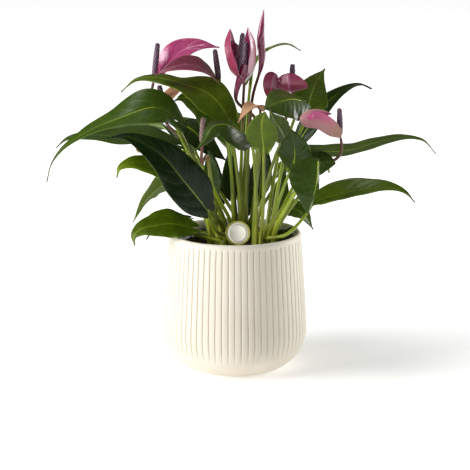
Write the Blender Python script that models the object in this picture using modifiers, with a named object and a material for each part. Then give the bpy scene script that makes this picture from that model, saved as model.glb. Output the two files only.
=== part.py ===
"""A potted anthurium: a ribbed ceramic pot with the grower's pot and soil in it, a tag, leaves and blooms.

Metres, +Z up. The origin is the centre of the pot's flat base. The plant faces -Y, and +X is to its right.
Every leaf is one solid, its stalk and blade grown together. Every bloom is its stem with the spathe, the
coloured leaf of the flower, and its spadix, the spike of florets, in a second solid.
"""
import math
from dataclasses import dataclass

import bmesh
import bpy
import numpy as np
from mathutils import Matrix, Vector
from mathutils.kdtree import KDTree

# Driving dimensions
POT_HEIGHT = 0.145
RIB_COUNT = 68
GROOVE_DEPTH = 0.0011
GROOVE_LOW = 0.014
GROOVE_HIGH = 0.1375
POT_WALL = 0.0042
POT_FLOOR = 0.007
SOIL_TOP = 0.129
SOIL_MOUND = 0.003
SOIL_RADIUS = 0.0603
GROWER_WALL = 0.0009
GROWER_TOP = 0.1365
GAP = 0.0003
STEM_DEPTH = 0.008
HOLE_SIDES = 6
SEAT_DEPTH = 0.004
BLADE_THICKNESS = 0.0007
STALK_KNOTS = (0.0, 0.11, 0.28, 0.52, 0.77, 1.0)
STALK_FOOT_RADIUS = 0.0022
STALK_HEEL_RADIUS = 0.0015
STEM_SPACING = 0.0060
TAG_RADIUS = 0.0126
TAG_THICKNESS = 0.0012

# The pot's outer side, as radius and height, from the rim to the flat base
POT_SIDE = (
    (0.0686, 0.1450), (0.0695, 0.1425), (0.0700, 0.1365), (0.0748, 0.0640), (0.0754, 0.0360),
    (0.0708, 0.0200), (0.0635, 0.0110), (0.0530, 0.0030), (0.0450, 0.0000),
)

# The three crowns that the stalks grow from
CROWNS = {"left": (-0.014, -0.004), "middle": (0.008, 0.015), "right": (0.030, -0.016)}


@dataclass(frozen=True)
class Blade:
    """A leaf's blade or a spathe: its midrib from heel to tip and how its two halves lie."""

    midrib: tuple
    width: float
    face: tuple
    twist: float = 0.0
    twist_span: tuple = (0.0, 1.0)
    fold: float = 12.0
    curl: float = 0.0
    lobe: float = 0.15
    point: float = 1.3
    wave: float = 0.0


@dataclass(frozen=True)
class Leaf:
    """A leaf: the crown it grows from, points its stalk passes, and its blade."""

    crown: str
    blade: Blade
    colour: str = "leaf_mid"
    via: tuple = ()


@dataclass(frozen=True)
class Bloom:
    """A bloom: its stem's crown, the seat of the spadix, the spadix's top, and the spathe."""

    crown: str
    seat: tuple
    spadix_top: tuple
    blade: Blade = None
    colour: str = "spathe_pink"
    spadix_radius: float = 0.0029
    via: tuple = ()


LEAVES = {
    "leaf_crest_left": Leaf("middle", Blade(
        ((-0.008, -0.024, 0.272), (-0.016, -0.022, 0.284), (-0.030, -0.020, 0.296), (-0.052, -0.020, 0.304),
         (-0.077, -0.023, 0.311), (-0.101, -0.026, 0.310), (-0.117, -0.028, 0.297)),
        0.044, (0.4, -0.7, 0.5), twist=30, twist_span=(0.2, 0.5), fold=5, curl=-0.14, lobe=0.15,
        point=1.6), "leaf_bright"),
    "leaf_under_crest": Leaf("middle", Blade(
        ((-0.011, -0.012, 0.264), (-0.021, -0.012, 0.278), (-0.033, -0.012, 0.285), (-0.045, -0.013, 0.288),
         (-0.055, -0.014, 0.289), (-0.062, -0.016, 0.286)),
        0.048, (0.1, -0.8, 0.6), fold=-10, curl=-0.08, lobe=0.12)),
    "leaf_far_left": Leaf("left", Blade(
        ((-0.062, -0.042, 0.272), (-0.070, -0.045, 0.281), (-0.083, -0.050, 0.285), (-0.099, -0.055, 0.282),
         (-0.115, -0.058, 0.276), (-0.133, -0.058, 0.269), (-0.154, -0.058, 0.259), (-0.175, -0.058, 0.244),
         (-0.187, -0.058, 0.228), (-0.192, -0.058, 0.209)),
        0.046, (0.4, -0.5, 0.77), twist=32, twist_span=(0.15, 0.45), fold=14, curl=-0.10, lobe=0.10,
        point=1.9), via=((-0.048, -0.036, 0.236),)),
    "leaf_far_left_low": Leaf("left", Blade(
        ((-0.062, 0.000, 0.238), (-0.089, -0.006, 0.247), (-0.122, -0.010, 0.248), (-0.155, -0.012, 0.249),
         (-0.174, -0.012, 0.246), (-0.186, -0.012, 0.236)),
        0.050, (0.0, -0.25, 0.97), fold=12, curl=-0.12, lobe=0.10), "leaf_dark"),
    "leaf_dark_front": Leaf("left", Blade(
        ((-0.029, -0.057, 0.181), (-0.040, -0.064, 0.197), (-0.054, -0.072, 0.216), (-0.070, -0.078, 0.237),
         (-0.088, -0.082, 0.251), (-0.109, -0.084, 0.261), (-0.128, -0.086, 0.260)),
        0.048, (0.25, -0.85, 0.45), fold=9, curl=-0.06, lobe=0.06, point=1.4), "leaf_dark",
        via=((-0.018, -0.036, 0.152),)),
    "leaf_bright_left": Leaf("left", Blade(
        ((-0.057, -0.010, 0.203), (-0.080, -0.018, 0.216), (-0.104, -0.024, 0.223), (-0.119, -0.028, 0.218),
         (-0.122, -0.030, 0.208)),
        0.038, (0.0, -0.45, 0.9), fold=10, curl=-0.10), "leaf_bright"),
    "leaf_pale_left": Leaf("left", Blade(
        ((-0.053, 0.026, 0.195), (-0.073, 0.014, 0.195), (-0.093, 0.002, 0.180), (-0.107, -0.004, 0.156)),
        0.044, (-0.5, 0.55, 0.65), fold=8, curl=-0.05), "leaf_bright"),
    "leaf_low_left": Leaf("left", Blade(
        ((-0.047, -0.016, 0.153), (-0.066, -0.022, 0.158), (-0.084, -0.028, 0.157), (-0.098, -0.032, 0.154),
         (-0.105, -0.034, 0.147), (-0.104, -0.034, 0.137)),
        0.044, (-0.1, -0.5, 0.85), fold=10, curl=-0.12), "leaf_bright"),
    "leaf_low_left_small": Leaf("left", Blade(
        ((-0.052, 0.014, 0.156), (-0.070, 0.006, 0.157), (-0.084, -0.002, 0.151), (-0.093, -0.008, 0.138)),
        0.026, (-0.2, -0.2, 0.95), fold=12, curl=-0.10), "leaf_dark"),
    "leaf_centre_curled": Leaf("right", Blade(
        ((0.017, -0.048, 0.253), (0.005, -0.060, 0.262), (-0.009, -0.070, 0.271), (-0.022, -0.076, 0.270),
         (-0.030, -0.080, 0.258), (-0.040, -0.082, 0.246)),
        0.038, (0.1, -0.6, 0.8), fold=-20, curl=-0.15, lobe=0.06), "leaf_grey"),
    "leaf_back_centre": Leaf("middle", Blade(
        ((-0.054, 0.050, 0.250), (-0.042, 0.046, 0.242), (-0.028, 0.040, 0.228), (-0.008, 0.034, 0.213)),
        0.032, (0.4, -0.8, 0.5), fold=8, curl=-0.05), "leaf_dark",
        via=((-0.039, 0.048, 0.212),)),
    "leaf_bright_heart": Leaf("right", Blade(
        ((0.029, -0.062, 0.246), (0.027, -0.072, 0.262), (0.027, -0.080, 0.276), (0.030, -0.086, 0.286)),
        0.032, (-0.1, -0.85, 0.45), fold=8, curl=-0.10, lobe=0.22, point=0.9), "leaf_bright"),
    "leaf_small_bright": Leaf("right", Blade(
        ((0.052, -0.030, 0.250), (0.046, -0.038, 0.261), (0.039, -0.046, 0.273), (0.035, -0.050, 0.283)),
        0.026, (0.4, -0.85, 0.35), fold=8, curl=-0.05), "leaf_bright"),
    "leaf_roof": Leaf("right", Blade(
        ((0.071, -0.004, 0.284), (0.059, -0.016, 0.288), (0.045, -0.030, 0.287), (0.030, -0.042, 0.282)),
        0.046, (-0.1, -0.7, 0.7), fold=-12, curl=-0.15, lobe=0.16, point=1.0), "leaf_grey"),
    "leaf_back_up": Leaf("middle", Blade(
        ((0.077, 0.036, 0.263), (0.079, 0.038, 0.279), (0.086, 0.036, 0.298), (0.094, 0.032, 0.312)),
        0.040, (-0.1, -0.95, 0.25), fold=10, curl=-0.05)),
    "leaf_back_narrow": Leaf("middle", Blade(
        ((0.069, 0.060, 0.231), (0.085, 0.058, 0.257), (0.102, 0.055, 0.277), (0.121, 0.052, 0.290),
         (0.133, 0.050, 0.293), (0.145, 0.050, 0.288)),
        0.026, (-0.4, -0.75, 0.5), fold=10, curl=-0.05, point=1.6), "leaf_dark"),
    "leaf_right_high": Leaf("right", Blade(
        ((0.078, 0.010, 0.230), (0.097, 0.010, 0.228), (0.122, 0.010, 0.230), (0.149, 0.011, 0.238),
         (0.176, 0.012, 0.243), (0.197, 0.012, 0.240), (0.211, 0.012, 0.225)),
        0.040, (0.0, -0.15, 1.0), fold=10, curl=-0.08, lobe=0.12, point=1.5), "leaf_grey"),
    "leaf_right_low": Leaf("right", Blade(
        ((0.079, -0.030, 0.182), (0.103, -0.032, 0.190), (0.131, -0.034, 0.197), (0.158, -0.034, 0.199),
         (0.175, -0.034, 0.194), (0.186, -0.034, 0.183)),
        0.034, (0.0, -0.45, 0.9), fold=22, curl=-0.05, lobe=0.08),
        via=((0.053, -0.042, 0.151),)),
    "leaf_front_drip": Leaf("right", Blade(
        ((0.085, -0.064, 0.235), (0.084, -0.072, 0.218), (0.080, -0.077, 0.199), (0.074, -0.078, 0.180)),
        0.060, (0.7, -0.7, 0.1), fold=-38, curl=0.0, lobe=0.0, point=1.0), "leaf_dark",
        via=((0.058, -0.048, 0.190),)),
    "leaf_round_dark": Leaf("right", Blade(
        ((0.060, -0.036, 0.222), (0.061, -0.045, 0.236), (0.059, -0.049, 0.250), (0.057, -0.049, 0.262)),
        0.036, (-0.1, -0.95, 0.2), fold=6, curl=-0.12, lobe=0.14, point=0.9), "leaf_dark"),
    "leaf_round_side": Leaf("right", Blade(
        ((0.070, -0.029, 0.221), (0.081, -0.035, 0.224), (0.092, -0.038, 0.226), (0.103, -0.040, 0.225)),
        0.028, (0.1, -0.9, 0.4), fold=6, curl=-0.12, lobe=0.12, point=0.8), "leaf_dark",
        via=((0.064, -0.018, 0.195),)),
    "leaf_low_right": Leaf("right", Blade(
        ((0.050, 0.028, 0.160), (0.060, 0.026, 0.164), (0.072, 0.024, 0.159), (0.083, 0.022, 0.142)),
        0.026, (0.1, -0.5, 0.9), fold=10, curl=-0.05),
        via=((0.043, 0.018, 0.146),)),
    "leaf_inner_right": Leaf("right", Blade(
        ((0.047, 0.004, 0.143), (0.052, -0.004, 0.148), (0.056, -0.013, 0.150), (0.059, -0.024, 0.147)),
        0.022, (0.1, -0.3, 0.95), fold=10, curl=-0.10), "leaf_dark"),
    "leaf_back_top": Leaf("middle", Blade(
        ((0.016, 0.050, 0.302), (0.024, 0.056, 0.320), (0.039, 0.060, 0.331), (0.056, 0.062, 0.334),
         (0.070, 0.064, 0.327)),
        0.034, (-0.3, 0.2, 0.95), fold=12, curl=-0.10), "leaf_bright"),
    "leaf_rear_left": Leaf("left", Blade(
        ((-0.054, 0.053, 0.226), (-0.069, 0.069, 0.240), (-0.088, 0.087, 0.244), (-0.108, 0.100, 0.236),
         (-0.120, 0.108, 0.218)),
        0.056, (0.1, 0.4, 0.9), fold=12, curl=-0.12), "leaf_dark"),
    "leaf_rear_middle": Leaf("middle", Blade(
        ((-0.004, 0.062, 0.232), (-0.008, 0.084, 0.250), (-0.010, 0.108, 0.254), (-0.010, 0.132, 0.243),
         (-0.008, 0.146, 0.222)),
        0.058, (0.0, 0.4, 0.9), fold=12, curl=-0.12)),
    "leaf_rear_right": Leaf("right", Blade(
        ((0.052, 0.064, 0.196), (0.068, 0.084, 0.210), (0.084, 0.104, 0.212), (0.098, 0.120, 0.200),
         (0.104, 0.128, 0.182)),
        0.050, (0.0, 0.4, 0.9), fold=12, curl=-0.12), "leaf_bright"),
    "leaf_rear_low": Leaf("middle", Blade(
        ((0.010, 0.056, 0.170), (0.012, 0.076, 0.178), (0.013, 0.096, 0.172), (0.014, 0.108, 0.156)),
        0.040, (0.0, 0.4, 0.9), fold=12, curl=-0.12), "leaf_bright"),
}

BLOOMS = {
    "bloom_left_back": Bloom("left", (-0.084, 0.010, 0.306), (-0.080, 0.010, 0.342), Blade(
        ((-0.0845, 0.0100, 0.3015), (-0.077, 0.009, 0.308), (-0.069, 0.012, 0.320), (-0.056, 0.015, 0.333),
         (-0.037, 0.016, 0.339), (-0.016, 0.016, 0.337)),
        0.036, (-0.85, -0.1, 0.5), twist=38, twist_span=(0.05, 0.5), fold=10, curl=0.08, lobe=0.0),
        via=((-0.048, 0.024, 0.226), (-0.064, 0.026, 0.256))),
    "bloom_left_front": Bloom("middle", (-0.017, 0.016, 0.304), (-0.021, 0.014, 0.335), Blade(
        ((-0.0164, 0.0163, 0.2995), (-0.024, 0.006, 0.309), (-0.034, -0.005, 0.319), (-0.048, -0.017, 0.324),
         (-0.063, -0.027, 0.323), (-0.075, -0.034, 0.319), (-0.081, -0.037, 0.316)),
        0.032, (0.3, -0.3, 0.85), fold=10, curl=0.0, lobe=0.0), "spathe_dusk"),
    "bloom_left_low": Bloom("left", (-0.076, -0.010, 0.289), (-0.078, -0.011, 0.301), Blade(
        ((-0.075, -0.009, 0.285), (-0.068, -0.006, 0.290), (-0.059, -0.003, 0.297), (-0.050, 0.000, 0.300),
         (-0.043, 0.002, 0.299)),
        0.016, (-0.2, -0.5, 0.85), fold=10, curl=0.0, lobe=0.08), "spathe_peach",
        via=((-0.040, -0.028, 0.226), (-0.056, -0.028, 0.250))),
    "bloom_tulip": Bloom("middle", (0.004, 0.000, 0.313), (0.008, -0.001, 0.354), Blade(
        ((0.003, 0.000, 0.309), (-0.003, -0.002, 0.314), (-0.008, -0.004, 0.328), (-0.010, -0.004, 0.344),
         (-0.005, -0.002, 0.358)),
        0.034, (0.9, -0.2, 0.35), fold=16, curl=0.20, lobe=0.08, point=1.0),
        via=((0.024, -0.007, 0.262),)),
    "bloom_rolled": Bloom("middle", (0.010, 0.022, 0.305), (0.012, 0.020, 0.342), Blade(
        ((0.011, 0.023, 0.301), (0.017, 0.024, 0.308), (0.021, 0.023, 0.324), (0.020, 0.020, 0.342),
         (0.013, 0.016, 0.357)),
        0.040, (-0.85, -0.4, 0.35), fold=26, curl=0.35, lobe=0.08, point=1.0)),
    "bloom_roof": Bloom("right", (0.060, 0.024, 0.301), (0.060, 0.024, 0.318), Blade(
        ((0.061, 0.023, 0.296), (0.053, 0.017, 0.293), (0.043, 0.009, 0.293), (0.034, 0.003, 0.292),
         (0.030, 0.000, 0.299), (0.037, 0.002, 0.309)),
        0.036, (0.1, 0.2, 1.0), fold=42, curl=0.05, lobe=0.0, point=1.0),
        via=((0.055, 0.022, 0.266),)),
    "bloom_right": Bloom("right", (0.108, -0.026, 0.255), (0.107, -0.027, 0.280), Blade(
        ((0.108, -0.027, 0.250), (0.097, -0.031, 0.253), (0.084, -0.035, 0.261), (0.071, -0.036, 0.264),
         (0.067, -0.034, 0.271), (0.076, -0.030, 0.278), (0.089, -0.028, 0.278), (0.099, -0.027, 0.274)),
        0.040, (0.1, 0.2, 1.0), fold=42, curl=0.05, lobe=0.0, point=0.8), "spathe_dusk",
        via=((0.090, -0.022, 0.215),)),
    "bloom_old": Bloom("right", None, None, Blade(
        ((0.027, -0.006, 0.275), (0.021, -0.016, 0.282), (0.012, -0.028, 0.279), (0.003, -0.036, 0.267)),
        0.018, (-0.3, -0.6, 0.75), fold=10, curl=0.05, lobe=0.06), "spathe_peach"),
    "bloom_old_small": Bloom("left", None, None, Blade(
        ((-0.096, 0.026, 0.226), (-0.099, 0.026, 0.230), (-0.102, 0.026, 0.236), (-0.106, 0.026, 0.240)),
        0.014, (0.3, -0.85, 0.4), fold=10, curl=0.05, lobe=0.06), "spathe_peach",
        via=((-0.046, 0.050, 0.180), (-0.078, 0.042, 0.208))),
    "bloom_bare": Bloom("left", (-0.033, -0.067, 0.252), (-0.032, -0.067, 0.277), spadix_radius=0.0030,
                        via=((-0.024, -0.034, 0.200), (-0.029, -0.054, 0.236))),
}

# The closed bud: points up its axis with its radius at each
BUD_AXIS = ((0.025, 0.030, 0.306), (0.027, 0.030, 0.314), (0.028, 0.030, 0.326), (0.027, 0.030, 0.344),
            (0.028, 0.030, 0.360), (0.030, 0.030, 0.374))
BUD_RADII = (0.0016, 0.0026, 0.0040, 0.0042, 0.0026, 0.0005)

COLOURS = {
    "pot_cream": ((0.80, 0.74, 0.62), 0.60),
    "grower_black": ((0.03, 0.03, 0.03), 0.50),
    "soil_dark": ((0.035, 0.022, 0.015), 0.95),
    "tag_cream": ((0.85, 0.82, 0.70), 0.45),
    "stake_olive": ((0.35, 0.32, 0.10), 0.50),
    "leaf_bright": ((0.10, 0.24, 0.02), 0.35),
    "leaf_mid": ((0.04, 0.12, 0.015), 0.35),
    "leaf_dark": ((0.012, 0.05, 0.01), 0.32),
    "leaf_grey": ((0.06, 0.11, 0.04), 0.40),
    "spathe_pink": ((0.45, 0.08, 0.22), 0.32),
    "spathe_dusk": ((0.36, 0.12, 0.14), 0.40),
    "spathe_peach": ((0.62, 0.38, 0.22), 0.50),
    "spadix_plum": ((0.05, 0.02, 0.05), 0.55),
}


def material(name):
    """The named material, made the first time it is asked for."""
    found = bpy.data.materials.get(name)
    if found:
        return found
    colour, roughness = COLOURS[name]
    made = bpy.data.materials.new(name)
    made.use_nodes = True
    shader = made.node_tree.nodes["Principled BSDF"]
    shader.inputs["Base Color"].default_value = (*colour, 1.0)
    shader.inputs["Roughness"].default_value = roughness
    shader.inputs["Metallic"].default_value = 0.0
    return made


def add_object(name, data, collection, colour=None):
    """An object for a mesh or curve, in a collection, with its own material."""
    made = bpy.data.objects.new(name, data)
    collection.objects.link(made)
    if colour:
        data.materials.clear()
        data.materials.append(material(colour))
    return made


def mesh_of(name, shape):
    """A mesh made from a bmesh, which is then freed."""
    mesh = bpy.data.meshes.new(name)
    shape.to_mesh(mesh)
    shape.free()
    return mesh


def applied(made):
    """The object's mesh with its modifiers applied and loose doubles welded; the object is removed."""
    evaluated = made.evaluated_get(bpy.context.evaluated_depsgraph_get())
    mesh = bpy.data.meshes.new_from_object(evaluated)
    shape = bmesh.new()
    shape.from_mesh(mesh)
    bmesh.ops.remove_doubles(shape, verts=shape.verts, dist=0.00001)
    bmesh.ops.recalc_face_normals(shape, faces=shape.faces)
    if shape.calc_volume(signed=True) < 0:
        bmesh.ops.reverse_faces(shape, faces=shape.faces)
    shape.to_mesh(mesh)
    shape.free()
    bpy.data.objects.remove(made)
    return mesh


def joined(name, meshes, parts, tools, colour):
    """One solid from several closed meshes that run into each other."""
    whole = add_object(name, meshes[0], parts, colour)
    for number, mesh in enumerate(meshes[1:]):
        add_object(f"{name}_piece_{number}", mesh, tools)
    union = whole.modifiers.new("union", "BOOLEAN")
    union.operation = "UNION"
    union.operand_type = "COLLECTION"
    union.collection = tools
    union.solver = "EXACT"
    mesh = applied(whole)
    for piece in list(tools.objects):
        bpy.data.objects.remove(piece)
    mesh.shade_smooth()
    return add_object(name, mesh, parts, colour)


def smooth_path(points, count):
    """Points evenly spaced along a smooth curve through the given ones."""
    points = np.array(points, float)
    steps = np.linalg.norm(np.diff(points, axis=0), axis=1)
    knots = np.concatenate([[0.0], np.cumsum(np.sqrt(steps))])
    slopes = np.gradient(points, knots, axis=0)
    fine = np.linspace(0.0, knots[-1], 24 * len(points))
    left = np.clip(np.searchsorted(knots, fine, side="right") - 1, 0, len(knots) - 2)
    span = (knots[left + 1] - knots[left])[:, None]
    t = (fine - knots[left])[:, None] / span
    curve = (
        (2 * t**3 - 3 * t**2 + 1) * points[left] + (t**3 - 2 * t**2 + t) * span * slopes[left]
        + (3 * t**2 - 2 * t**3) * points[left + 1] + (t**3 - t**2) * span * slopes[left + 1]
    )
    lengths = np.concatenate([[0.0], np.cumsum(np.linalg.norm(np.diff(curve, axis=0), axis=1))])
    wanted = np.linspace(0.0, lengths[-1], count)
    return np.stack([np.interp(wanted, lengths, curve[:, axis]) for axis in range(3)], axis=1)


def unit(vectors):
    """Vectors of length one, along the last axis."""
    return vectors / np.linalg.norm(vectors, axis=-1, keepdims=True)


def midrib_frames(blade, count=65):
    """Points along the midrib with its direction, the blade's upper side and its right-hand side there."""
    points = smooth_path(blade.midrib, count)
    along = unit(np.gradient(points, axis=0))
    up = np.empty_like(along)
    up[0] = unit(np.array(blade.face) - np.dot(blade.face, along[0]) * along[0])
    for i in range(1, count):
        up[i] = unit(up[i - 1] - np.dot(up[i - 1], along[i]) * along[i])
    share = np.clip((np.linspace(0.0, 1.0, count) - blade.twist_span[0]) / np.ptp(blade.twist_span), 0.0, 1.0)
    turn = np.radians(blade.twist) * (share * share * (3 - 2 * share))[:, None]
    side = np.cross(along, up)
    up, side = up * np.cos(turn) + side * np.sin(turn), side * np.cos(turn) - up * np.sin(turn)
    return points, along, up, side


def blade_surface(blade, v, u):
    """The blade's upper side at v, 0 to 1 from heel to tip, and u, -1 to 1 from margin to margin."""
    points, along, up, side = midrib_frames(blade)
    length = np.linalg.norm(np.diff(points, axis=0), axis=1).sum()
    reach = np.abs(u)
    back = np.sin(math.pi * reach**1.15) * (1 - v) ** 2.5
    place = v - blade.lobe * back
    inside = np.clip(place, 0.0, 1.0) * (len(points) - 1)

    def at(table):
        return np.stack([np.interp(inside, np.arange(len(points)), table[:, k]) for k in range(3)], axis=-1)

    half = (v + 0.02) ** 0.5 * np.maximum(1 - v, 0.0) ** blade.point
    half = np.maximum(blade.width / 2 * half / half_peak(blade.point), 0.0007)
    angle = math.radians(blade.fold)
    across = half * u * math.cos(angle)
    rise = half * (reach * math.sin(angle) + blade.curl * u * u)
    ripple = blade.wave * half * np.sin(v * 19.0 + np.sign(u) * 1.3) * reach**2
    behind = np.minimum(place, 0.0) * length
    return (
        at(points) + unit(at(along)) * behind[..., None] + unit(at(side)) * across[..., None]
        + unit(at(up)) * (rise + ripple)[..., None]
    )


def half_peak(point):
    """The greatest value of the blade's width formula, which scales it to its width."""
    v = np.linspace(0.0, 1.0, 101)
    return np.max((v + 0.02) ** 0.5 * (1 - v) ** point)


def blade_mesh(name, blade, rows=7, columns=4):
    """A thin closed blade: a grid bent by the blade's formula, split into triangles, then thickened."""
    shape = bmesh.new()
    bmesh.ops.create_grid(shape, x_segments=columns, y_segments=rows, size=1.0)
    bmesh.ops.triangulate(shape, faces=shape.faces[:])
    u = np.array([vertex.co.x for vertex in shape.verts])
    v = np.array([(vertex.co.y + 1) / 2 for vertex in shape.verts])
    for vertex, place in zip(shape.verts, blade_surface(blade, v, u)):
        vertex.co = place
    flat = add_object(name, mesh_of(name, shape), bpy.context.scene.collection)
    thick = flat.modifiers.new("thickness", "SOLIDIFY")
    thick.thickness = BLADE_THICKNESS
    thick.offset = -1.0
    thick.use_even_offset = False
    return applied(flat)


def tube_mesh(name, points, radii, resolution=1):
    """A closed tube along points, with a radius at each."""
    curve = bpy.data.curves.new(name, "CURVE")
    curve.dimensions = "3D"
    curve.bevel_depth = 1.0
    curve.bevel_resolution = resolution
    curve.use_fill_caps = True
    spline = curve.splines.new("POLY")
    spline.points.add(len(points) - 1)
    for knot, place, radius in zip(spline.points, points, radii):
        knot.co = (*place, 1.0)
        knot.radius = radius
    return applied(add_object(name, curve, bpy.context.scene.collection))


def turned(name, profile, steps):
    """A closed turned mesh from a profile that runs down its outer side."""
    shape = bmesh.new()
    corners = [shape.verts.new((radius, 0.0, height)) for radius, height in profile]
    for first, second in zip(corners, corners[1:]):
        shape.edges.new((first, second))
    line = add_object(name, mesh_of(name, shape), bpy.context.scene.collection)
    screw = line.modifiers.new("turn", "SCREW")
    screw.steps = steps
    screw.render_steps = steps
    screw.use_merge_vertices = True
    screw.merge_threshold = 0.00001
    return applied(line)


def pot_radius(height):
    """The pot's outer radius at a height."""
    radii, heights = zip(*POT_SIDE[::-1])
    return float(np.interp(height, heights, radii))


def cut(target, meshes, tools):
    """Cuts closed meshes out of an object and applies the cut."""
    for number, mesh in enumerate(meshes):
        cutter = add_object(f"cutter_{number}", mesh, tools)
        cutter.hide_render = True
        cutter.display_type = "WIRE"
    difference = target.modifiers.new("cut", "BOOLEAN")
    difference.operation = "DIFFERENCE"
    difference.operand_type = "COLLECTION"
    difference.collection = tools
    difference.solver = "EXACT"
    name, collection = target.name, target.users_collection[0]
    colour = target.active_material.name
    mesh = applied(target)
    for cutter in list(tools.objects):
        bpy.data.objects.remove(cutter)
    return add_object(name, mesh, collection, colour)


def build_pot(parts, tools):
    """The ceramic pot: a turned body whose sides are grooved between the ribs, hollowed from the top."""
    outline = [(0.0, POT_HEIGHT), *POT_SIDE, (0.0, 0.0)]
    mesh = turned("pot", outline, 2 * RIB_COUNT)
    for vertex in mesh.vertices:
        turn = math.atan2(vertex.co.y, vertex.co.x) / (2 * math.pi) * 2 * RIB_COUNT
        if round(turn) % 2 and GROOVE_LOW < vertex.co.z < GROOVE_HIGH:
            side = Vector((vertex.co.x, vertex.co.y, 0.0))
            vertex.co -= side.normalized() * GROOVE_DEPTH
    pot = add_object("pot", mesh, parts, "pot_cream")
    hollow = [(0.0, POT_HEIGHT + 0.01), (POT_SIDE[0][0] - POT_WALL + 0.0007, POT_HEIGHT + 0.01)]
    hollow += [(pot_radius(z) - POT_WALL, z) for z in (POT_HEIGHT - 0.004, 0.064, 0.036, 0.020)]
    hollow += [(0.050, POT_FLOOR), (0.0, POT_FLOOR)]
    return cut(pot, [turned("hollow", hollow, 36)], tools)


def build_grower_pot(parts):
    """The thin plastic pot that the plant was grown in, standing on the ceramic pot's floor."""
    top, wall = SOIL_RADIUS + GAP, GROWER_WALL
    low = POT_FLOOR + GAP
    foot = 0.043
    profile = [
        (top, GROWER_TOP), (top + wall + 0.0016, GROWER_TOP), (top + wall + 0.0016, GROWER_TOP - 0.004),
        (top + wall, GROWER_TOP - 0.005), (foot + wall, low), (0.0, low),
    ]
    inner = [(0.0, low + wall), (foot, low + wall), (top, GROWER_TOP)]
    return add_object("grower_pot", turned("grower_pot", profile + inner, 28), parts, "grower_black")


def soil_height(x, y):
    """The height of the soil's gently mounded top."""
    return SOIL_TOP + SOIL_MOUND * (1 - (x * x + y * y) / SOIL_RADIUS**2)


def build_soil(parts, tools, feet):
    """The soil that fills the grower's pot, with a plain hole for each stalk and for the tag's stake."""
    low = POT_FLOOR + GROWER_WALL + 2 * GAP
    lean = (SOIL_RADIUS - 0.043) / (GROWER_TOP - low)
    profile = [(0.0, soil_height(0.0, 0.0))]
    profile += [(r, soil_height(r, 0.0)) for r in (0.02, 0.04)]
    profile += [(0.043 + lean * (SOIL_TOP - low) - GAP, SOIL_TOP), (0.043 - GAP, low), (0.0, low)]
    soil = add_object("soil", turned("soil", profile, 28), parts, "soil_dark")
    holes = []
    for x, y, radius in feet:
        shape = bmesh.new()
        height = STEM_DEPTH + GAP + 0.004
        reach = (radius + GAP) / math.cos(math.pi / HOLE_SIDES)
        bmesh.ops.create_cone(
            shape, cap_ends=True, segments=HOLE_SIDES, radius1=reach, radius2=reach, depth=height)
        top = soil_height(x, y) + 0.004
        bmesh.ops.translate(shape, verts=shape.verts, vec=(x, y, top - height / 2))
        holes.append(mesh_of("hole", shape))
    return cut(soil, holes, tools)


def build_tag(parts, tag, stake_foot):
    """The round plant tag, bare, with a raised rim, on a thin stake behind it."""
    rim, thickness = 0.0011, TAG_THICKNESS
    profile = [
        (0.0, 0.0005), (TAG_RADIUS - rim, 0.0005), (TAG_RADIUS - rim, thickness), (TAG_RADIUS, thickness),
        (TAG_RADIUS, -0.0005), (0.0, -0.0005),
    ]
    disc = add_object("tag_disc", turned("tag_disc", profile, 24), parts, "tag_cream")
    disc.data.transform(Matrix.Translation(tag) @ Matrix.Rotation(math.radians(80), 4, "X"))
    x, y = stake_foot
    low = soil_height(x, y) - STEM_DEPTH
    points = [(x, y, low), (x, y, soil_height(x, y) + 0.006), (x, tag[1] + 0.0024, tag[2] + 0.004)]
    mesh = tube_mesh("tag_stake", points, [0.0013] * 3, resolution=1)
    return disc, add_object("tag_stake", mesh, parts, "stake_olive")


def spadix_mesh(name, foot, top, radius, rings=8, sides=8):
    """A tapering spike whose florets are bumps, set in rows that alternate from ring to ring."""
    length = math.dist(foot, top)
    shape = bmesh.new()
    bmesh.ops.create_cone(shape, cap_ends=True, segments=sides, radius1=1.0, radius2=1.0, depth=1.0)
    ends = [edge for edge in shape.edges if abs(edge.verts[0].co.z - edge.verts[1].co.z) > 0.5]
    bmesh.ops.subdivide_edges(shape, edges=ends, cuts=rings - 1)
    axis = Vector(top) - Vector(foot)
    turn = axis.to_track_quat("Z", "Y").to_matrix().to_4x4()
    for vertex in shape.verts:
        share = vertex.co.z + 0.5
        ring = round(share * rings)
        place = round(math.atan2(vertex.co.y, vertex.co.x) / (2 * math.pi) * sides)
        bump = 1.10 if (ring + place) % 2 else 0.93
        body = radius * (0.86 + 0.14 * math.sin(math.pi * min(1.0, share * 2))) * (1 - 0.22 * share**2)
        body *= 0.62 if ring == rings else 1.0
        lift = 0.0 if ring == 0 else share * length
        vertex.co = Vector((vertex.co.x * body * bump, vertex.co.y * body * bump, lift))
    bmesh.ops.triangulate(shape, faces=shape.faces[:])
    shape.transform(Matrix.Translation(foot) @ turn)
    return mesh_of(name, shape)


def crown_spots(crown, count):
    """Places for stalks round a crown's centre, on rings of a close-packed pattern."""
    centre = np.array(CROWNS[crown])
    steps = range(-4, 5)
    spots = [
        (STEM_SPACING * (i + 0.5 * j), STEM_SPACING * j * math.sqrt(3) / 2) for i in steps for j in steps
    ]
    spots.sort(key=lambda spot: (round(math.hypot(*spot), 5), round(math.atan2(spot[1], spot[0]), 5)))
    return [centre + spot for spot in spots[:count]]


def place_feet(goals):
    """Gives each stalk the free spot of its crown that lies most toward its first goal."""
    feet = {}
    for crown, centre in CROWNS.items():
        names = [name for name, (its_crown, _) in goals.items() if its_crown == crown]
        spots = crown_spots(crown, len(names))
        names.sort(key=lambda name: -math.dist(goals[name][1][:2], centre))
        for name in names:
            lean = np.array(goals[name][1][:2]) - centre
            wanted = centre + 0.012 * lean / max(np.linalg.norm(lean), 0.001)
            best = min(range(len(spots)), key=lambda k: math.dist(spots[k], wanted))
            feet[name] = spots.pop(best)
    return feet


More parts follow.
